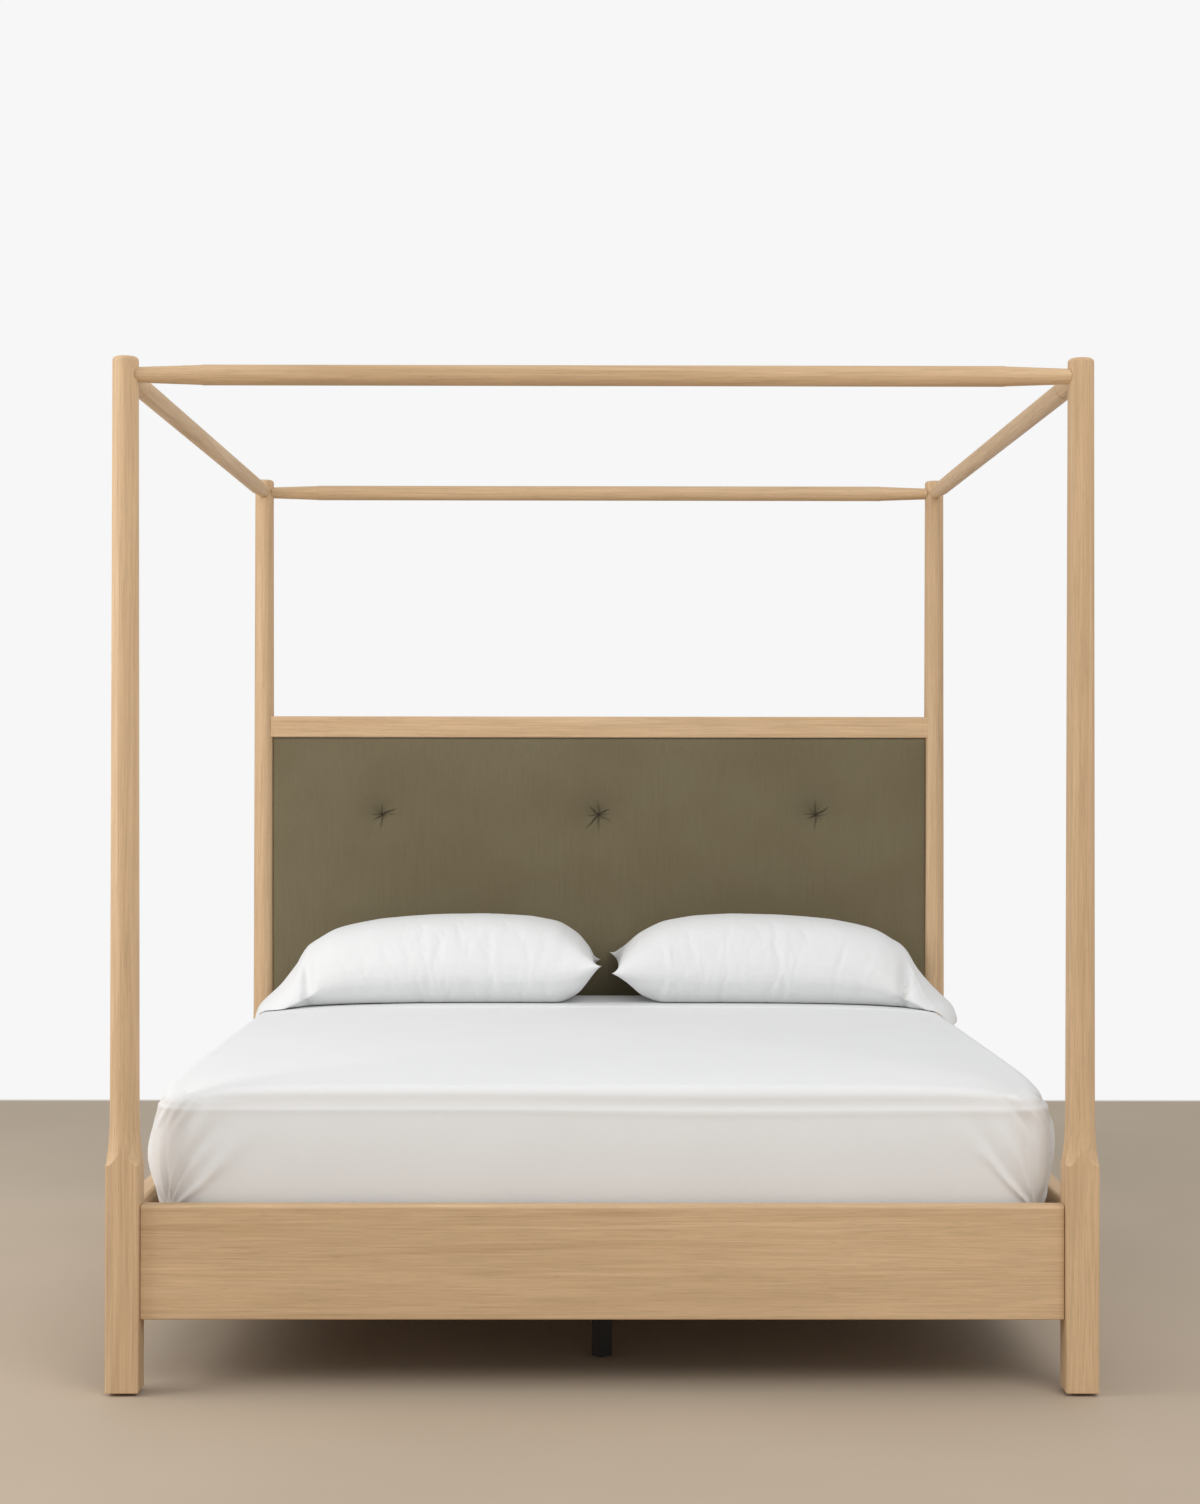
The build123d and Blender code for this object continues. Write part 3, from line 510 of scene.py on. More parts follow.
def make_dust_cloth():
    """Thin stapled cloth over the back of the headboard."""
    low, high = CLOTH_LOW, CLOTH_HIGH
    xs = np.linspace(low.x + CLOTH_HEM, high.x - CLOTH_HEM, 120)
    zs = np.linspace(low.z + CLOTH_HEM, high.z - CLOTH_HEM, 64)
    grid_x, grid_z = np.meshgrid(xs, zs)
    from_side = np.minimum(grid_x - low.x, high.x - grid_x)
    from_end = np.minimum(grid_z - low.z, high.z - grid_z)
    sag = 0.004 * smoothstep(0.01, 0.25, np.minimum(from_side, from_end))
    staples = np.sin(grid_x * 2 * math.pi / STAPLE_PITCH) * bell(from_end, 0.03)
    staples += np.sin(grid_z * 2 * math.pi / STAPLE_PITCH) * bell(from_side, 0.03)
    y = high.y - 0.0006 - sag + 0.0008 * staples
    vertices = np.stack([grid_x, y, grid_z], axis=-1).reshape(-1, 3)
    faces = [face[::-1] for face in grid_faces(*grid_x.shape)]
    material = woven_cloth("dust_cloth", (0.035, 0.033, 0.03))
    cloth = new_object("headboard_dust_cloth", vertices, faces, material)
    add_modifier(cloth, "SOLIDIFY", thickness=0.0006, offset=0.0)
    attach(cloth, "frame")
    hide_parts("headboard_rear_cloth")


# ---- mattress and fitted sheet ----
CORNER_RADIUS = 0.105  # corners of the mattress seen from above
EDGE_RADIUS = 0.045  # roll between its top and its sides
WAIST = (0.013, 0.004)  # how far in the roll stands at the sides and at the ends
CORNER_DROP = 0.034  # how much lower the soft corners stand
CORNER_REACH = 0.075  # how far that is felt
ROLL_POWER = 0.72  # below 1 the roll is squarer than a circle
ROLL_STEPS = 12
SWELL = (0.022, 0.008)  # how far the sides and the ends swell out below the roll
CROWN = 0.016  # how far the middle of the top stands above the roll
CROWN_REACH = 0.16  # how far in from the edge the crown rises
BED_TOP = 0.0095  # the roll's top below the top of the CAD solids
MATTRESS_INSET = Vector((0.005, 0.005, 0))
LOW_EDGE = 0.022  # radius of the mattress's lower edge
SHEET_HEM = 0.030  # sheet's hem above the underside of the mattress
CREASE_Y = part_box("left_pillow")[0].y - 0.040  # pressed crease in front of the pillows
CREASE_START = (-0.64, -0.50)  # where it fades in from the left
CREASE_DEPTH = 0.0026
FAN_DEPTH = 0.0092  # folds that fan up from a gathered corner
PLEAT_DEPTH = 0.0080  # short pleats where a corner's cloth is bunched
PLEAT_PITCH = 0.027
PLEAT_HEIGHT = 0.222  # above the hem
CORNER_SEAM_DEPTH = 0.0022
DEEPEST_WRINKLE = 0.0085


class BedForm:
    """Rounded box whose top is crowned and whose sides bulge, as rings round a flat inner area.
    It is larger than its box by grow. fine is the mesh step near the edges, coarse the one in the
    middle, and fine_at lists places along Y with close mesh lines."""

    def __init__(self, low, high, grow, bottom, side_rows, fine, coarse, fine_at=()):
        self.centre = np.array([(low.x + high.x) / 2, (low.y + high.y) / 2])
        half = np.array([(high.x - low.x) / 2, (high.y - low.y) / 2]) + grow - WAIST
        self.edge = EDGE_RADIUS + grow
        self.corner = CORNER_RADIUS + grow - self.edge
        self.inner = half - self.edge
        self.top = high.z - BED_TOP + grow
        self.bottom, self.side_rows = bottom, side_rows
        steps = (-0.010, -0.005, -0.0015, 0.0015, 0.005, 0.010)
        extra = [at - self.centre[1] + step for at in fine_at for step in steps]
        self.axes = [
            self.lines(self.inner[0], fine, coarse),
            self.lines(self.inner[1], fine, coarse, extra),
        ]

    def lines(self, half, fine, coarse, extra=()):
        """Places of the mesh lines along one axis."""
        run = self.corner + 9 * fine
        near = np.linspace(0, run, round(run / fine) + 1)
        blend = [run + fine * (1.5**k - 1) / 0.5 for k in range(1, 4)]
        plain = half - blend[-1]
        middle = np.linspace(-plain, plain, max(3, round(2 * plain / coarse)))
        side = np.concatenate([-half + near, -half + np.array(blend[:-1])])
        return np.unique(np.round(np.concatenate([side, middle, -side, extra]), 6))

    def crown(self, x, y):
        """Height of the crowned top above its roll."""
        beyond_x = np.abs(x - self.centre[0]) - self.inner[0]
        beyond_y = np.abs(y - self.centre[1]) - self.inner[1]
        rise = 1 - np.exp(np.minimum(beyond_x, 0) / CROWN_REACH)
        rise = rise * (1 - np.exp(np.minimum(beyond_y, 0) / CROWN_REACH))
        return CROWN * rise - CORNER_DROP * np.exp(-np.hypot(beyond_x, beyond_y) / CORNER_REACH)

    def footprint(self):
        """Inner area's points, with its square corners rounded."""
        gx, gy = np.meshgrid(*self.axes)
        r = self.corner
        straight_x, straight_y = self.inner - r
        cx, cy = np.abs(gx) - straight_x, np.abs(gy) - straight_y
        at_corner = (cx > 0) & (cy > 0)
        u, v = np.clip(cx / r, 0, 1), np.clip(cy / r, 0, 1)
        round_x = np.sign(gx) * (straight_x + r * u * np.sqrt(1 - v * v / 2))
        round_y = np.sign(gy) * (straight_y + r * v * np.sqrt(1 - u * u / 2))
        return np.where(at_corner, round_x, gx), np.where(at_corner, round_y, gy)

    def outward(self, points):
        """Outward direction at points on the rounded rim."""
        core = np.clip(points, -(self.inner - self.corner), self.inner - self.corner)
        away = points - core
        return away / np.linalg.norm(away, axis=1)[:, None]

    def profile(self, hem):
        """Steps (out, down, share of the side) of the roll, the side and the hem below them."""
        steps = []
        for angle in np.linspace(0, QUARTER, ROLL_STEPS + 1)[1:]:
            drop = self.edge * (1 - max(math.cos(angle), 0.0) ** ROLL_POWER)
            steps.append((self.edge * math.sin(angle) ** ROLL_POWER, -drop, 0.0))
        side_height = self.top - self.edge - self.bottom
        for share in np.linspace(0, 1, self.side_rows + 1)[1:]:
            steps.append((self.edge, -self.edge - side_height * share, share))
        for inward, down in hem:
            steps.append((self.edge - inward, -self.edge - side_height - down, 1.0))
        return steps

    def surface(self, hem, wrinkle=None):
        """Vertices and faces of the top, its roll and its sides. wrinkle(points, normals) gives
        how points move, and hem lists (inward, down) steps below the sides."""
        x, y = self.footprint()
        z = self.top + self.crown(x + self.centre[0], y + self.centre[1])
        grid = np.stack([x, y, z], axis=-1).reshape(-1, 3)
        base = grid[grid_rim(*x.shape)]
        outward = self.outward(base[:, :2])
        rings = []
        for out, down, share in self.profile(hem):
            place = base[:, :2] + outward * (out + side_swell(share, outward))
            height = self.top + down + (base[:, 2] - self.top) * max(0.0, 1 + down / self.edge)
            rings.append(np.column_stack([place, height]))
        points, faces = with_rings(grid, x.shape, rings)
        if wrinkle:
            sideways = np.column_stack([outward, np.zeros(len(base))])
            upright = np.tile([0.0, 0.0, 1.0], (len(grid), 1))
            points += wrinkle(points, np.concatenate([upright] + [sideways] * len(rings)))
        points[:, :2] += self.centre
        return points, faces

    def height(self, x, y):
        """Height of the top and roll over points given in the frame, and of the hem beside them."""
        over_x = np.abs(x - self.centre[0]) - (self.inner[0] - self.corner)
        over_y = np.abs(y - self.centre[1]) - (self.inner[1] - self.corner)
        beyond = np.hypot(np.maximum(over_x, 0), np.maximum(over_y, 0)) - self.corner
        turn = np.arcsin(np.clip(beyond / self.edge, 0, 1) ** (1 / ROLL_POWER))
        drop = self.edge * (1 - np.maximum(np.cos(turn), 0) ** ROLL_POWER)
        return np.where(beyond > self.edge, self.bottom, self.top + self.crown(x, y) - drop)


def side_swell(share, outward):
    """How far the sides stand out at a share of the way down, for outward directions."""
    if share == 0:
        return 0.0
    most = SWELL[0] * outward[:, 0] ** 2 + SWELL[1] * outward[:, 1] ** 2
    return (most * math.sin(math.pi * min(1.0, 0.06 + share * 0.94) ** 0.9))[:, None]


SHEET_FORM = BedForm(SHEET_LOW, SHEET_HIGH, grow=0.001, bottom=MATTRESS_LOW.z + SHEET_HEM, side_rows=52,
                     fine=0.003, coarse=0.02, fine_at=(CREASE_Y,))


def make_mattress():
    form = BedForm(MATTRESS_LOW + MATTRESS_INSET, MATTRESS_HIGH - MATTRESS_INSET, grow=-0.004,
                   bottom=MATTRESS_LOW.z + LOW_EDGE, side_rows=10, fine=0.012, coarse=0.05)
    hem = [(LOW_EDGE * (1 - math.cos(a)), LOW_EDGE * math.sin(a)) for a in np.linspace(0, QUARTER, 6)[1:]]
    hem += [(inward, LOW_EDGE) for inward in (0.06, 0.20, 0.5, 0.9)]
    mattress = new_object("mattress_body", *form.surface(hem), TICKING)
    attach(mattress, "mattress")
    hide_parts("mattress")


def corner_folds(x, y, height, sx, sy):
    """Folds that fan up from one gathered corner, its bunched pleats and its seam. sx and sy are
    the corner's signs."""
    form = SHEET_FORM
    past_x, past_y = sx * x - (form.inner[0] - form.corner), sy * y - (form.inner[1] - form.corner)
    turn = np.arctan2(np.maximum(past_y, 0), np.maximum(past_x, 0))
    back_x, back_y = np.maximum(-past_x, 0), np.maximum(-past_y, 0)
    around = (form.corner + form.edge) * (turn - math.pi / 4)
    around = around + back_x * (past_y > 0) - back_y * (past_x > 0)
    rho = np.hypot(around, height - 0.005)
    phi = np.arctan2(around, np.maximum(height - 0.005, 0.0001))
    rng = np.random.default_rng(20 + 2 * sx + sy)
    fan = np.zeros(len(x))
    for direction in np.linspace(-0.85, 0.85, 9):
        lean = direction + rng.normal(0, 0.05) + 0.08 * np.sin(11 * rho + rng.uniform(0, 6))
        strength = rng.uniform(0.6, 1.0) * rng.choice((-0.8, 1.0))
        length = rng.uniform(0.22, 0.34)
        reach = smoothstep(0.015, 0.06, rho) * (1 - smoothstep(0.5 * length, length, rho))
        fan += strength * bell(phi - lean, rng.uniform(0.07, 0.11)) * reach
    pleats = np.zeros(len(x))
    for number in range(5):
        lean = around - PLEAT_PITCH * (number - 2) - 0.6 * (height - 0.23)
        strength = rng.uniform(0.6, 1.0) * rng.choice((-1.0, 1.0))
        pleats += strength * bell(lean, 0.010) * bell(height - PLEAT_HEIGHT - 0.012 * (number % 2), 0.036)
    seam = np.exp(-np.abs(around) / 0.004) * (1 - smoothstep(0.10, 0.25, height))
    folds = FAN_DEPTH * fan + PLEAT_DEPTH * pleats - CORNER_SEAM_DEPTH * seam
    return np.where(np.hypot(back_x, back_y) > 0.5, 0, folds)


def sheet_wrinkle(points, normals):
    """Folds at the four corners, slow waves down the sides, the band of the mattress's edge, and
    the pressed crease that crosses the top in front of the pillows."""
    form = SHEET_FORM
    x, y, z = points.T
    below = form.top - z
    on_side = smoothstep(0.2, 0.8, np.hypot(normals[:, 0], normals[:, 1]))
    moved = sum(corner_folds(x, y, z - form.bottom, sx, sy) for sx in (-1, 1) for sy in (-1, 1))
    waves = 0.0011 * np.sin(x * 13.0 + 1.5 * np.sin(3 * x))
    waves += 0.0014 * np.sin(y * 12.0 + 1.2 * np.sin(4 * y))
    moved += waves * smoothstep(0.0, 0.25, below)
    sag = 0.005 * np.sin(2.1 * x + 0.6) + 0.002 * np.sin(6.7 * x)
    moved += 0.0016 * bell(below - 0.052 - sag, 0.009) - 0.0022 * bell(below - 0.032 - sag, 0.010)
    shift = normals * (np.maximum(moved, -DEEPEST_WRINKLE) * on_side)[:, None]
    crossing = y + form.centre[1] - CREASE_Y
    crease = smoothstep(-0.0015, 0.0015, crossing) * np.exp(-np.maximum(crossing, 0) / 0.10)
    crease = crease * smoothstep(*CREASE_START, x) * (1 - on_side)
    shift[:, 2] += CREASE_DEPTH * crease * smoothstep(form.top - 0.01, form.top, z)
    return shift


def make_fitted_sheet():
    hem = [(0.006, 0.006), (0.014, 0.0105), (0.024, 0.013)]
    sheet = new_object("fitted_sheet_cloth", *SHEET_FORM.surface(hem, sheet_wrinkle), SHEET_LINEN)
    add_modifier(sheet, "SOLIDIFY", thickness=0.0012, offset=-1.0)
    add_modifier(sheet, "SUBSURF", levels=1, render_levels=1)
    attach(sheet, "mattress")
    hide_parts("fitted_sheet")


# ---- pillows ----
CASE_WIDTH = 0.585  # pillowcase laid flat, across
CASE_SHIFT = 0.010  # most that the settled cloth as a whole may move from its laid-out shape
WELT = 0.0060  # how far the side seams stand out
PUCKER = 0.0024  # depth of the small puckers along the seams
CRUMPLE = 0.0048  # depth of the folds where the filling ends
TUCK_PLACE = 0.815  # where the sides are drawn in beyond the filling
TUCK_DEPTH = (0.016, 0.012)  # inwards and down
RIPPLE = 0.45  # share of the settled cloth's ripples that is kept
SEAM_CREASE = 0.75  # how sharp the subdivided seams stay
CASE_ROWS, CASE_COLUMNS = 150, 60
SETTLING_FRAMES = 24
CASE_TO_BED = 0.0028
CASE_TO_HEADBOARD = 0.009
FILLING_GAP = 0.0035  # filling's skin inside the case
FILLING_END = 0.90  # furthest that the filling reaches from the inner end
END_SWELL = 0.012  # how far the filling's outer end is rounded

# Each line is (distance from the inner end, height above the bed), along the pillow's middle.
RIDGE = ((0.0, 0.098), (0.014, 0.134), (0.060, 0.177), (0.13, 0.213), (0.22, 0.228), (0.34, 0.233),
         (0.48, 0.230), (0.63, 0.219), (0.76, 0.196), (0.83, 0.160), (0.875, 0.106), (0.915, 0.058),
         (0.95, 0.026), (0.972, 0.006), (0.980, -0.022))
KEEL = ((0.0, 0.098), (0.018, 0.072), (0.060, 0.030), (0.13, 0.001), (0.22, 0.0), (0.915, 0.0),
        (0.95, -0.006), (0.966, -0.016), (0.972, -0.030))
# The side seams' heights, and their distances from the middle.
SEAM = ((0.0, 0.104), (0.018, 0.100), (0.060, 0.094), (0.13, 0.090), (0.22, 0.088), (0.34, 0.090),
        (0.48, 0.092), (0.63, 0.086), (0.72, 0.074), (0.78, 0.054), (0.83, 0.026), (0.875, 0.003),
        (0.905, -0.006), (0.928, -0.024), (0.940, -0.042))
SPREAD = ((0.0, 0.250), (0.018, 0.248), (0.060, 0.244), (0.13, 0.240), (0.22, 0.236), (0.34, 0.234),
          (0.48, 0.234), (0.63, 0.237), (0.76, 0.241), (0.83, 0.244), (0.875, 0.246), (0.915, 0.247),
          (0.95, 0.247), (0.966, 0.246), (0.972, 0.245))


def resample(curve, count):
    """Points of a polyline taken evenly along its length, and that length."""
    steps = np.concatenate([[0], np.cumsum(np.linalg.norm(np.diff(curve, axis=0), axis=1))])
    even = np.linspace(0, steps[-1], count)
    return np.column_stack([np.interp(even, steps, values) for values in curve.T]), steps[-1]


def smooth_line(points, count):
    """Smooth curve through points, sampled evenly along its length, and that length."""
    curve, _ = resample(np.array(points), 600)
    kernel = np.hanning(25)
    kernel /= kernel.sum()
    before, after = 2 * curve[0] - curve[12:0:-1], 2 * curve[-1] - curve[-2:-14:-1]
    padded = np.concatenate([before, curve, after])
    curve = np.column_stack([np.convolve(values, kernel, "valid") for values in padded.T])
    return resample(curve, count)


class Pillow:
    """A plump pillow on its back in a case whose open end hangs over the side of the bed.
    side is -1 for the left one. tips are how far its front and rear inner corners stand up, and
    nose is how drawn out its inner end is: 1 is the drawn profile."""

    def __init__(self, name, side, tips, nose, seed):
        self.name, self.side, self.tips, self.nose, self.seed = name, side, tips, nose, seed
        low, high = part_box(f"{name}_pillow")
        self.inner_x = high.x if side < 0 else low.x
        self.middle_y = (low.y + high.y) / 2
        self.bed = SHEET_FORM.top + CROWN * 0.75

    def drawn_out(self, distance):
        blend = float(smoothstep(0.0, 0.40, distance))
        return distance * (self.nose + (1 - self.nose) * blend)

    def puckers(self, along, side_of_seam):
        """Uneven ripples along a side seam, different at the front and at the rear."""
        rng = np.random.default_rng(self.seed)
        total = np.zeros(np.broadcast(along, side_of_seam).shape)
        for _ in range(52):
            place, width = rng.uniform(0.03, 0.88), rng.uniform(0.004, 0.011)
            strength, which = rng.uniform(-1.0, 0.9), rng.choice((-1, 1))
            total += strength * bell(along - place, width) * (side_of_seam == which)
        return PUCKER * total

    def crumple(self, along, across):
        """Slanting folds where the filling ends and the empty end of the case falls away."""
        rng = np.random.default_rng(self.seed + 40)
        total = np.zeros(np.broadcast(along, across).shape)
        for _ in range(26):
            place, slope = rng.uniform(-0.24, 0.24), rng.uniform(-1.1, 1.1)
            width, middle = rng.uniform(0.006, 0.013), rng.uniform(0.80, 0.93)
            reach = rng.uniform(0.025, 0.055)
            line = across - place - slope * (along - middle)
            total += rng.uniform(-1.0, 0.7) * bell(line, width) * bell(along - middle, reach)
        return CRUMPLE * total * (1 - smoothstep(0.93, 0.965, along))

    def panel(self, line, seam, across, upper):
        """Points of one panel, from its line along the middle and its seam along the sides.
        across runs from -1 at the front seam to 1 at the rear one."""
        at, rise = seam[:, None, 0], seam[:, None, 1]
        spread = np.interp(at, *zip(*SPREAD))
        to_seam, facing = np.abs(across), np.sign(across)
        power, root = (2.8, 0.50) if upper else (5.5, 0.60)
        bulge = np.clip(1 - to_seam**power, 0, 1) ** (root * (1 - 0.30 * bell(at, 0.09)))
        along = at + (line[:, None, 0] - at) * bulge
        along = along + 0.007 * bell(along, 0.10) * (1 - across**2) - 0.011 * bell(along, 0.03) * across**10
        lift = np.where(across < 0, *self.tips) * to_seam**4 * bell(at, 0.07)
        x = self.inner_x + self.side * along
        y = self.middle_y + spread * across
        fall = SHEET_FORM.top + SHEET_FORM.crown(x, y) - self.bed
        z = self.bed + fall * smoothstep(0.68, 0.86, along) + rise + (line[:, None, 1] - rise) * bulge + lift
        from_seam = (1 - to_seam) * spread
        pucker = self.puckers(at, facing) * np.exp(-from_seam / 0.040)
        pucker = pucker * smoothstep(0.0, 0.010, from_seam) * (1 - smoothstep(0.86, 0.94, at))
        crumple = self.crumple(along, spread * across) * (1 if upper else 0.3)
        tuck = bell(along - TUCK_PLACE - 0.03 * (1 - to_seam), 0.013) * smoothstep(0.55, 0.95, to_seam)
        x = x + self.side * 0.5 * crumple
        y = y + (pucker + WELT * bell(from_seam, 0.008) - TUCK_DEPTH[0] * tuck) * facing
        z = z + crumple - TUCK_DEPTH[1] * tuck * upper + 0.6 * pucker * (1 if upper else -1)
        return np.stack([x, y, z], axis=-1)

    def lay_out(self):
        """Points of the upper and lower panels, and of the same panels laid flat."""
        (ridge, self.flat_length), (keel, _), (seam, _) = [
            smooth_line([(self.drawn_out(d), rise) for d, rise in profile], CASE_ROWS)
            for profile in (RIDGE, KEEL, SEAM)
        ]
        across = np.sin(np.linspace(-QUARTER, QUARTER, CASE_COLUMNS) * 0.86) / math.sin(QUARTER * 0.86)
        panels = [self.panel(line, seam, across[None, :], line is ridge) for line in (ridge, keel)]
        x = self.inner_x + self.side * np.linspace(0, 1, CASE_ROWS) * self.flat_length
        y = self.middle_y + across * CASE_WIDTH / 2
        x, y = np.meshgrid(x, y, indexing="ij")
        flat = [np.stack([x, y, np.full_like(x, self.bed + rise)], axis=-1) for rise in (0.101, 0.099)]
        return panels, flat


def weld_panels(rows, columns, side, closed=False):
    """Faces of two panels joined along three sides, or all four if closed, the places that they
    use and each grid place's vertex number."""
    numbers = np.arange(2 * rows * columns).reshape(2, rows, columns)
    numbers[1, 0, :] = numbers[0, 0, :]
    numbers[1, :, 0] = numbers[0, :, 0]
    numbers[1, :, -1] = numbers[0, :, -1]
    if closed:
        numbers[1, -1, :] = numbers[0, -1, :]
    used, packed = np.unique(numbers, return_inverse=True)
    packed = packed.reshape(numbers.shape)
    faces = []
    for layer in (0, 1):
        p = packed[layer]
        corners = np.stack([p[:-1, :-1], p[1:, :-1], p[1:, 1:], p[:-1, 1:]], axis=-1).reshape(-1, 4)
        faces += (corners if (layer == 0) == (side > 0) else corners[:, ::-1]).tolist()
    return faces, used, packed


def set_points(obj, points):
    obj.data.vertices.foreach_set("co", points.astype(np.float32).ravel())
    obj.data.update()


def simulate_case(obj, flat, pressed):
    """Let the laid-out case settle as cloth with the pillow's pressure in it."""
    obj.shape_key_add(name="laid_out")
    rest = obj.shape_key_add(name="flat")
    rest.data.foreach_set("co", flat.astype(np.float32).ravel())
    rest.value = 0
    for name, weights in (("pressed", pressed), ("pinned", 0.9 * (1 - pressed) ** 2)):
        group = obj.vertex_groups.new(name=name)
        for index, weight in enumerate(weights):
            group.add([index], float(weight), "REPLACE")
    cloth = add_modifier(obj, "CLOTH")
    set_all(cloth.settings, quality=7, mass=0.12, tension_stiffness=25, compression_stiffness=8,
            shear_stiffness=4, bending_stiffness=0.02, tension_damping=5, compression_damping=5,
            air_damping=2, use_pressure=True, uniform_pressure_force=3.2, pin_stiffness=0.6,
            vertex_group_pressure="pressed", vertex_group_mass="pinned", rest_shape_key=rest)
    cloth.settings.effector_weights.gravity = 0
    cloth.collision_settings.use_collision = False
    scene = bpy.context.scene
    set_all(scene, frame_start=1, frame_end=SETTLING_FRAMES)
    set_all(cloth.point_cache, frame_start=1, frame_end=SETTLING_FRAMES)
    for number in range(1, SETTLING_FRAMES + 1):
        scene.frame_set(number)
    settled = obj.evaluated_get(bpy.context.evaluated_depsgraph_get()).data
    points = np.empty(len(settled.vertices) * 3, np.float32)
    settled.vertices.foreach_get("co", points)
    obj.modifiers.remove(cloth)
    obj.shape_key_clear()
    scene.frame_set(1)
    return points.reshape(-1, 3).astype(float)


def keep_off(points):
    """Points lifted clear of the bed and held in front of the headboard."""
    x, y, z = points.T
    z = np.maximum(z, SHEET_FORM.height(x, y) + CASE_TO_BED)
    return np.column_stack([x, np.minimum(y, COVER_LOW.y - CASE_TO_HEADBOARD), z])


def spread_out(values, faces, rounds):
    """Values at vertices averaged with their neighbours, several times over."""
    faces = np.array(faces)
    pairs = np.concatenate([faces[:, [k, (k + 1) % 4]] for k in range(4)])
    a, b = np.concatenate([pairs, pairs[:, ::-1]]).T
    share = np.bincount(a, minlength=len(values)).astype(float)
    for _ in range(rounds):
        total = np.column_stack([np.bincount(a, values[b, k], minlength=len(values)) for k in range(3)])
        values = 0.5 * values + 0.5 * total / share[:, None]
    return values


def settle(pillow, case, laid, flat, faces):
    """Laid-out points moved by the settled cloth: its slow drift within CASE_SHIFT, and a share
    of its ripples."""
    pressed = 1 - smoothstep(0.80, 0.93, np.abs(laid[:, 0] - pillow.inner_x))
    jitter = np.random.default_rng(pillow.seed).normal(0, 0.0004, laid.shape)
    set_points(case, laid + jitter)
    move = simulate_case(case, flat, pressed) - laid
    drift = spread_out(move, faces, 60)
    size = np.linalg.norm(drift, axis=1)
    held = drift * (CASE_SHIFT * np.tanh(size / CASE_SHIFT) / np.maximum(size, 1e-9))[:, None]
    return keep_off(laid + held + RIPPLE * (move - drift))


def make_pillow(pillow):
    panels, flat = pillow.lay_out()
    faces, used, packed = weld_panels(CASE_ROWS, CASE_COLUMNS, pillow.side)
    laid = keep_off(np.concatenate([panel.reshape(-1, 3) for panel in panels])[used])
    flat = np.concatenate([panel.reshape(-1, 3) for panel in flat])[used]
    case = new_object(f"{pillow.name}_pillowcase_cloth", laid, faces, CASE_LINEN)
    laid = settle(pillow, case, laid, flat, faces)
    set_points(case, laid)
    crease_seams(case, packed)
    make_filling(pillow, laid, packed, faces)
    add_modifier(case, "SUBSURF", levels=1, render_levels=1)
    add_modifier(case, "SOLIDIFY", thickness=0.0009, offset=-1.0)
    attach(case, f"{pillow.name}_pillow")
    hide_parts(f"{pillow.name}_pillowcase")


def crease_seams(obj, packed):
    """Keep the welded seams crisp when the case is subdivided."""
    seam = set()
    for line in (packed[0, 0, :], packed[0, :, 0], packed[0, :, -1]):
        seam |= {frozenset(pair) for pair in zip(line[:-1].tolist(), line[1:].tolist())}
    crease = obj.data.attributes.new("crease_edge", "FLOAT", "EDGE")
    for edge in obj.data.edges:
        crease.data[edge.index].value = SEAM_CREASE if frozenset(edge.vertices) in seam else 0.0


def make_filling(pillow, laid, packed, faces):
    """The filled pillow inside its case: the same swell, a little smaller and closed at its outer end."""
    mesh = bpy.data.meshes.new("swell")
    mesh.from_pydata([tuple(p) for p in laid], [], faces)
    normals = np.array([v.normal[:] for v in mesh.vertices])
    bpy.data.meshes.remove(mesh)
    away = np.abs(laid[:, 0] - pillow.inner_x)
    last = max(i for i in range(CASE_ROWS) if away[packed[:, i, :]].max() <= FILLING_END)
    columns = sorted({*range(0, CASE_COLUMNS, 2), CASE_COLUMNS - 1})
    panels = (laid - normals * FILLING_GAP)[packed[:, :last:2, columns]]
    end = panels[:, -1:]
    middle = end.mean(axis=0)
    for turn in np.linspace(0, QUARTER, 4)[1:]:
        ring = middle + (end - middle) * math.cos(turn)
        ring[..., 0] += pillow.side * END_SWELL * math.sin(turn)
        panels = np.concatenate([panels, ring], axis=1)
    made, used, _ = weld_panels(*panels.shape[1:3], pillow.side, closed=True)
    points = panels.reshape(-1, 3)[used]
    filling = new_object(f"{pillow.name}_pillow_filling", points, made, TICKING)
    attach(filling, f"{pillow.name}_pillow")
    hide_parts(f"{pillow.name}_pillow")


# ---- stage, light and camera ----
CAMERA_PLACE = (-0.028, CAD_BOX[0][1] - 4.9077, 1.313)
CAMERA_YAW = math.radians(-0.2456)
CAMERA_ROLL = math.radians(0.0675)
CAMERA_LENS = 56.17
CAMERA_SHIFT_UP = 0.0115
HORIZON_STRENGTH = 0.54
CEILING_STRENGTH = 0.80
WHITE = (0.93, 0.93, 0.93, 1)  # of the wall behind the bed
FLOOR_REACH = 60
SWEEP = (3.28, 3.34)  # where the floor turns white behind the bed

# Each lamp is (name, place, target, size, power in watts, colour).
LAMPS = (
    ("window", (-4.4, -1.6, 2.6), (0, 0.6, 0.8), (3.0, 2.4), 105, (1.0, 0.99, 0.97)),
    ("front", (2.3, -4.8, 4.0), (0, 0, 0.4), (3.4, 2.4), 102, (1.0, 0.985, 0.96)),
)


def make_camera():
    data = set_all(bpy.data.cameras.new("camera"), sensor_width=36, lens=CAMERA_LENS, shift_y=CAMERA_SHIFT_UP)
    camera = add_object("camera", data)
    camera.location = CAMERA_PLACE
    upright = Matrix.Rotation(CAMERA_YAW, 4, "Z") @ Matrix.Rotation(QUARTER, 4, "X")
    camera.rotation_euler = (upright @ Matrix.Rotation(CAMERA_ROLL, 4, "Z")).to_euler()
    bpy.context.scene.camera = camera


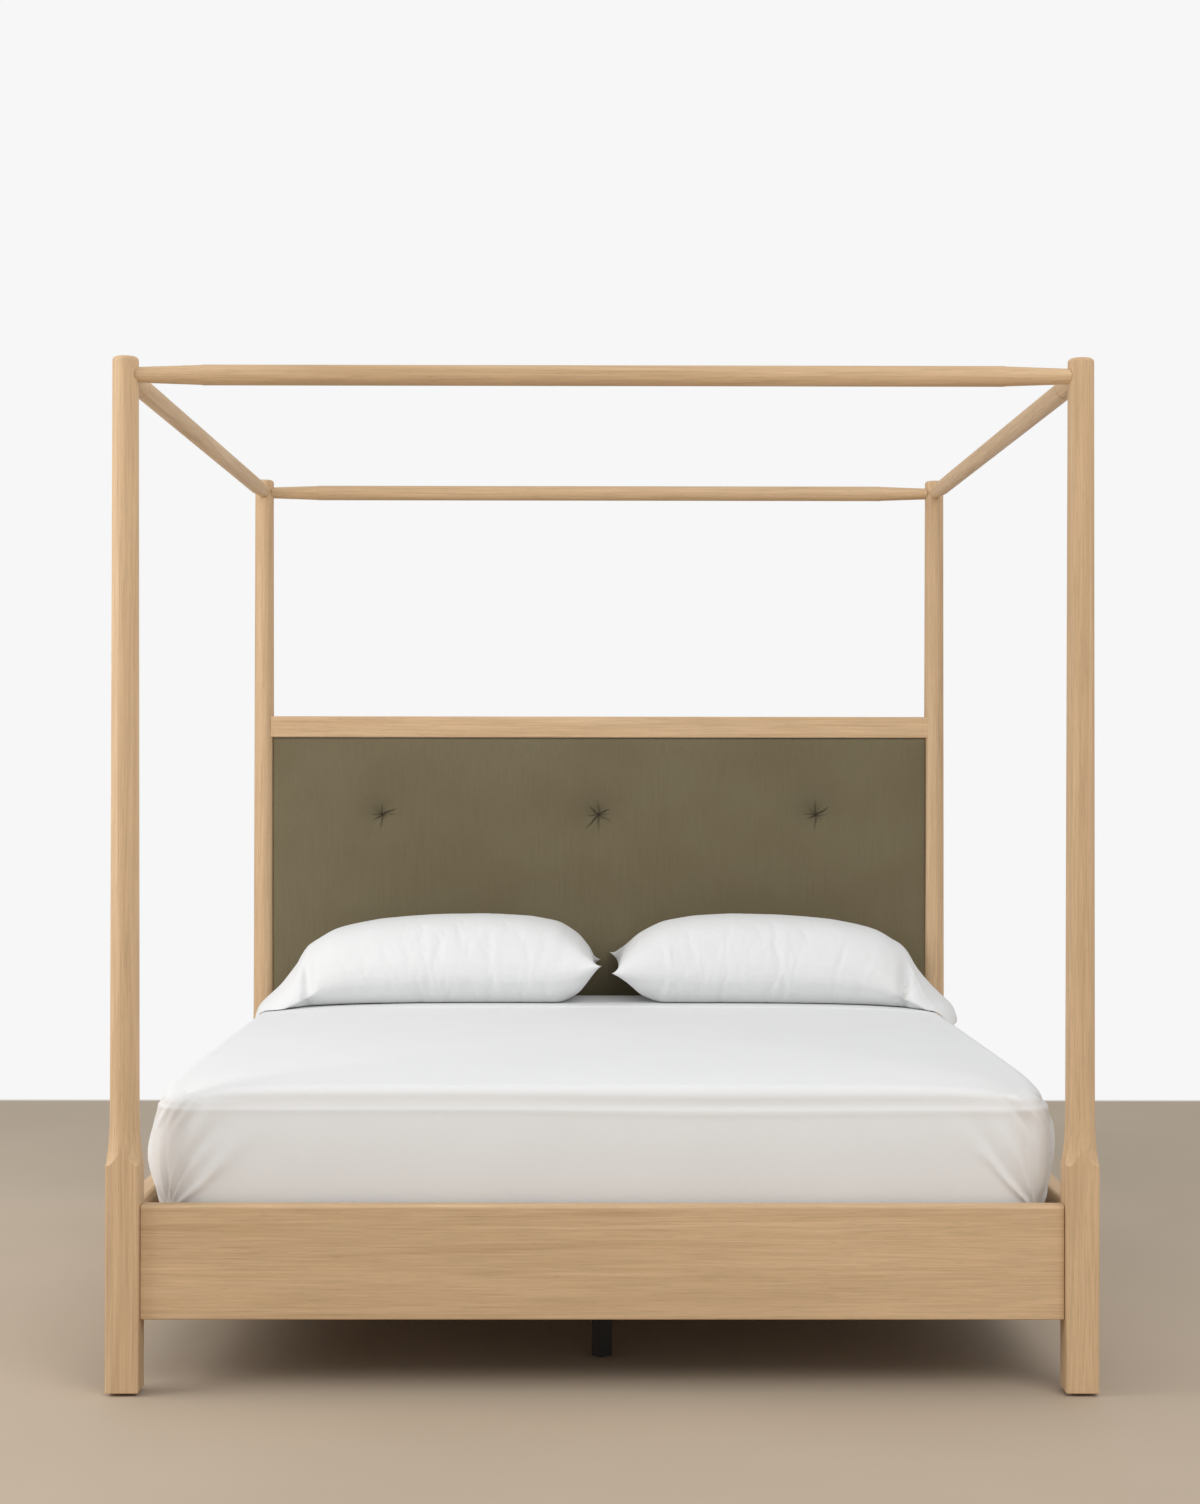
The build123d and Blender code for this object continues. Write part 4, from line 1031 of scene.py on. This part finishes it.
def make_floor():
    """Plain pale floor that ends in a white sweep behind the bed."""
    material, tree, shader = start_material("pale_floor")
    cloudy = noise(tree, object_space(tree, 0.8))
    warm = ramp(tree, cloudy, (0.3, (0.46, 0.375, 0.285)), (0.7, (0.50, 0.41, 0.315)))
    set_inputs(tree, shader, {"Base Color": warm, "Roughness": 0.65, "Specular IOR Level": 0.15})
    place = node(tree, "ShaderNodeSeparateXYZ", {0: object_space(tree)})
    inputs = {"Value": place.outputs["Y"], "From Min": SWEEP[0], "From Max": SWEEP[1]}
    behind = node(tree, "ShaderNodeMapRange", inputs)
    white = node(tree, "ShaderNodeEmission", {"Color": WHITE})
    mix_shaders(tree, behind.outputs[0], shader, white, "Material Output")
    corners = [(FLOOR_REACH * x, FLOOR_REACH * y, 0) for x, y in ((-1, -1), (1, -1), (1, 1), (-1, 1))]
    floor = new_object("floor", corners, [(0, 1, 2, 3)], material)


def make_light():
    """A white studio lit mostly from above, with large soft lights on both sides of the camera."""
    world = bpy.data.worlds.new("studio")
    world.use_nodes = True
    tree = world.node_tree
    seen = tree.nodes["Background"]
    set_inputs(tree, seen, {"Color": WHITE})
    direction = node(tree, "ShaderNodeTexCoord")
    height = node(tree, "ShaderNodeSeparateXYZ", {0: direction.outputs["Generated"]})
    inputs = {"Value": height.outputs["Z"], "From Min": -0.05, "From Max": 0.9}
    inputs |= {"To Min": HORIZON_STRENGTH, "To Max": CEILING_STRENGTH}
    ceiling = node(tree, "ShaderNodeMapRange", inputs)
    inputs = {"Color": (0.97, 0.985, 1.0, 1), "Strength": ceiling.outputs[0]}
    lighting = node(tree, "ShaderNodeBackground", inputs)
    rays = node(tree, "ShaderNodeLightPath")
    mix_shaders(tree, rays.outputs["Is Camera Ray"], lighting, seen, "World Output")
    bpy.context.scene.world = world
    for name, place, target, size, power, colour in LAMPS:
        data = bpy.data.lights.new(name, "AREA")
        set_all(data, shape="RECTANGLE", size=size[0], size_y=size[1], energy=power, color=colour)
        light = add_object(name, data)
        light.location = place
        light.rotation_euler = (Vector(target) - Vector(place)).to_track_quat("-Z", "Y").to_euler()
    bpy.context.scene.view_settings.view_transform = "Standard"


# ---- build ----
paint_frame()
make_headboard_cover()
make_dust_cloth()
make_mattress()
make_fitted_sheet()
make_pillow(Pillow("left", -1, tips=(0.010, -0.012), nose=0.78, seed=3))
make_pillow(Pillow("right", 1, tips=(-0.012, 0.010), nose=1.15, seed=8))
make_floor()
make_light()
make_camera()

bpy.context.view_layer.update()
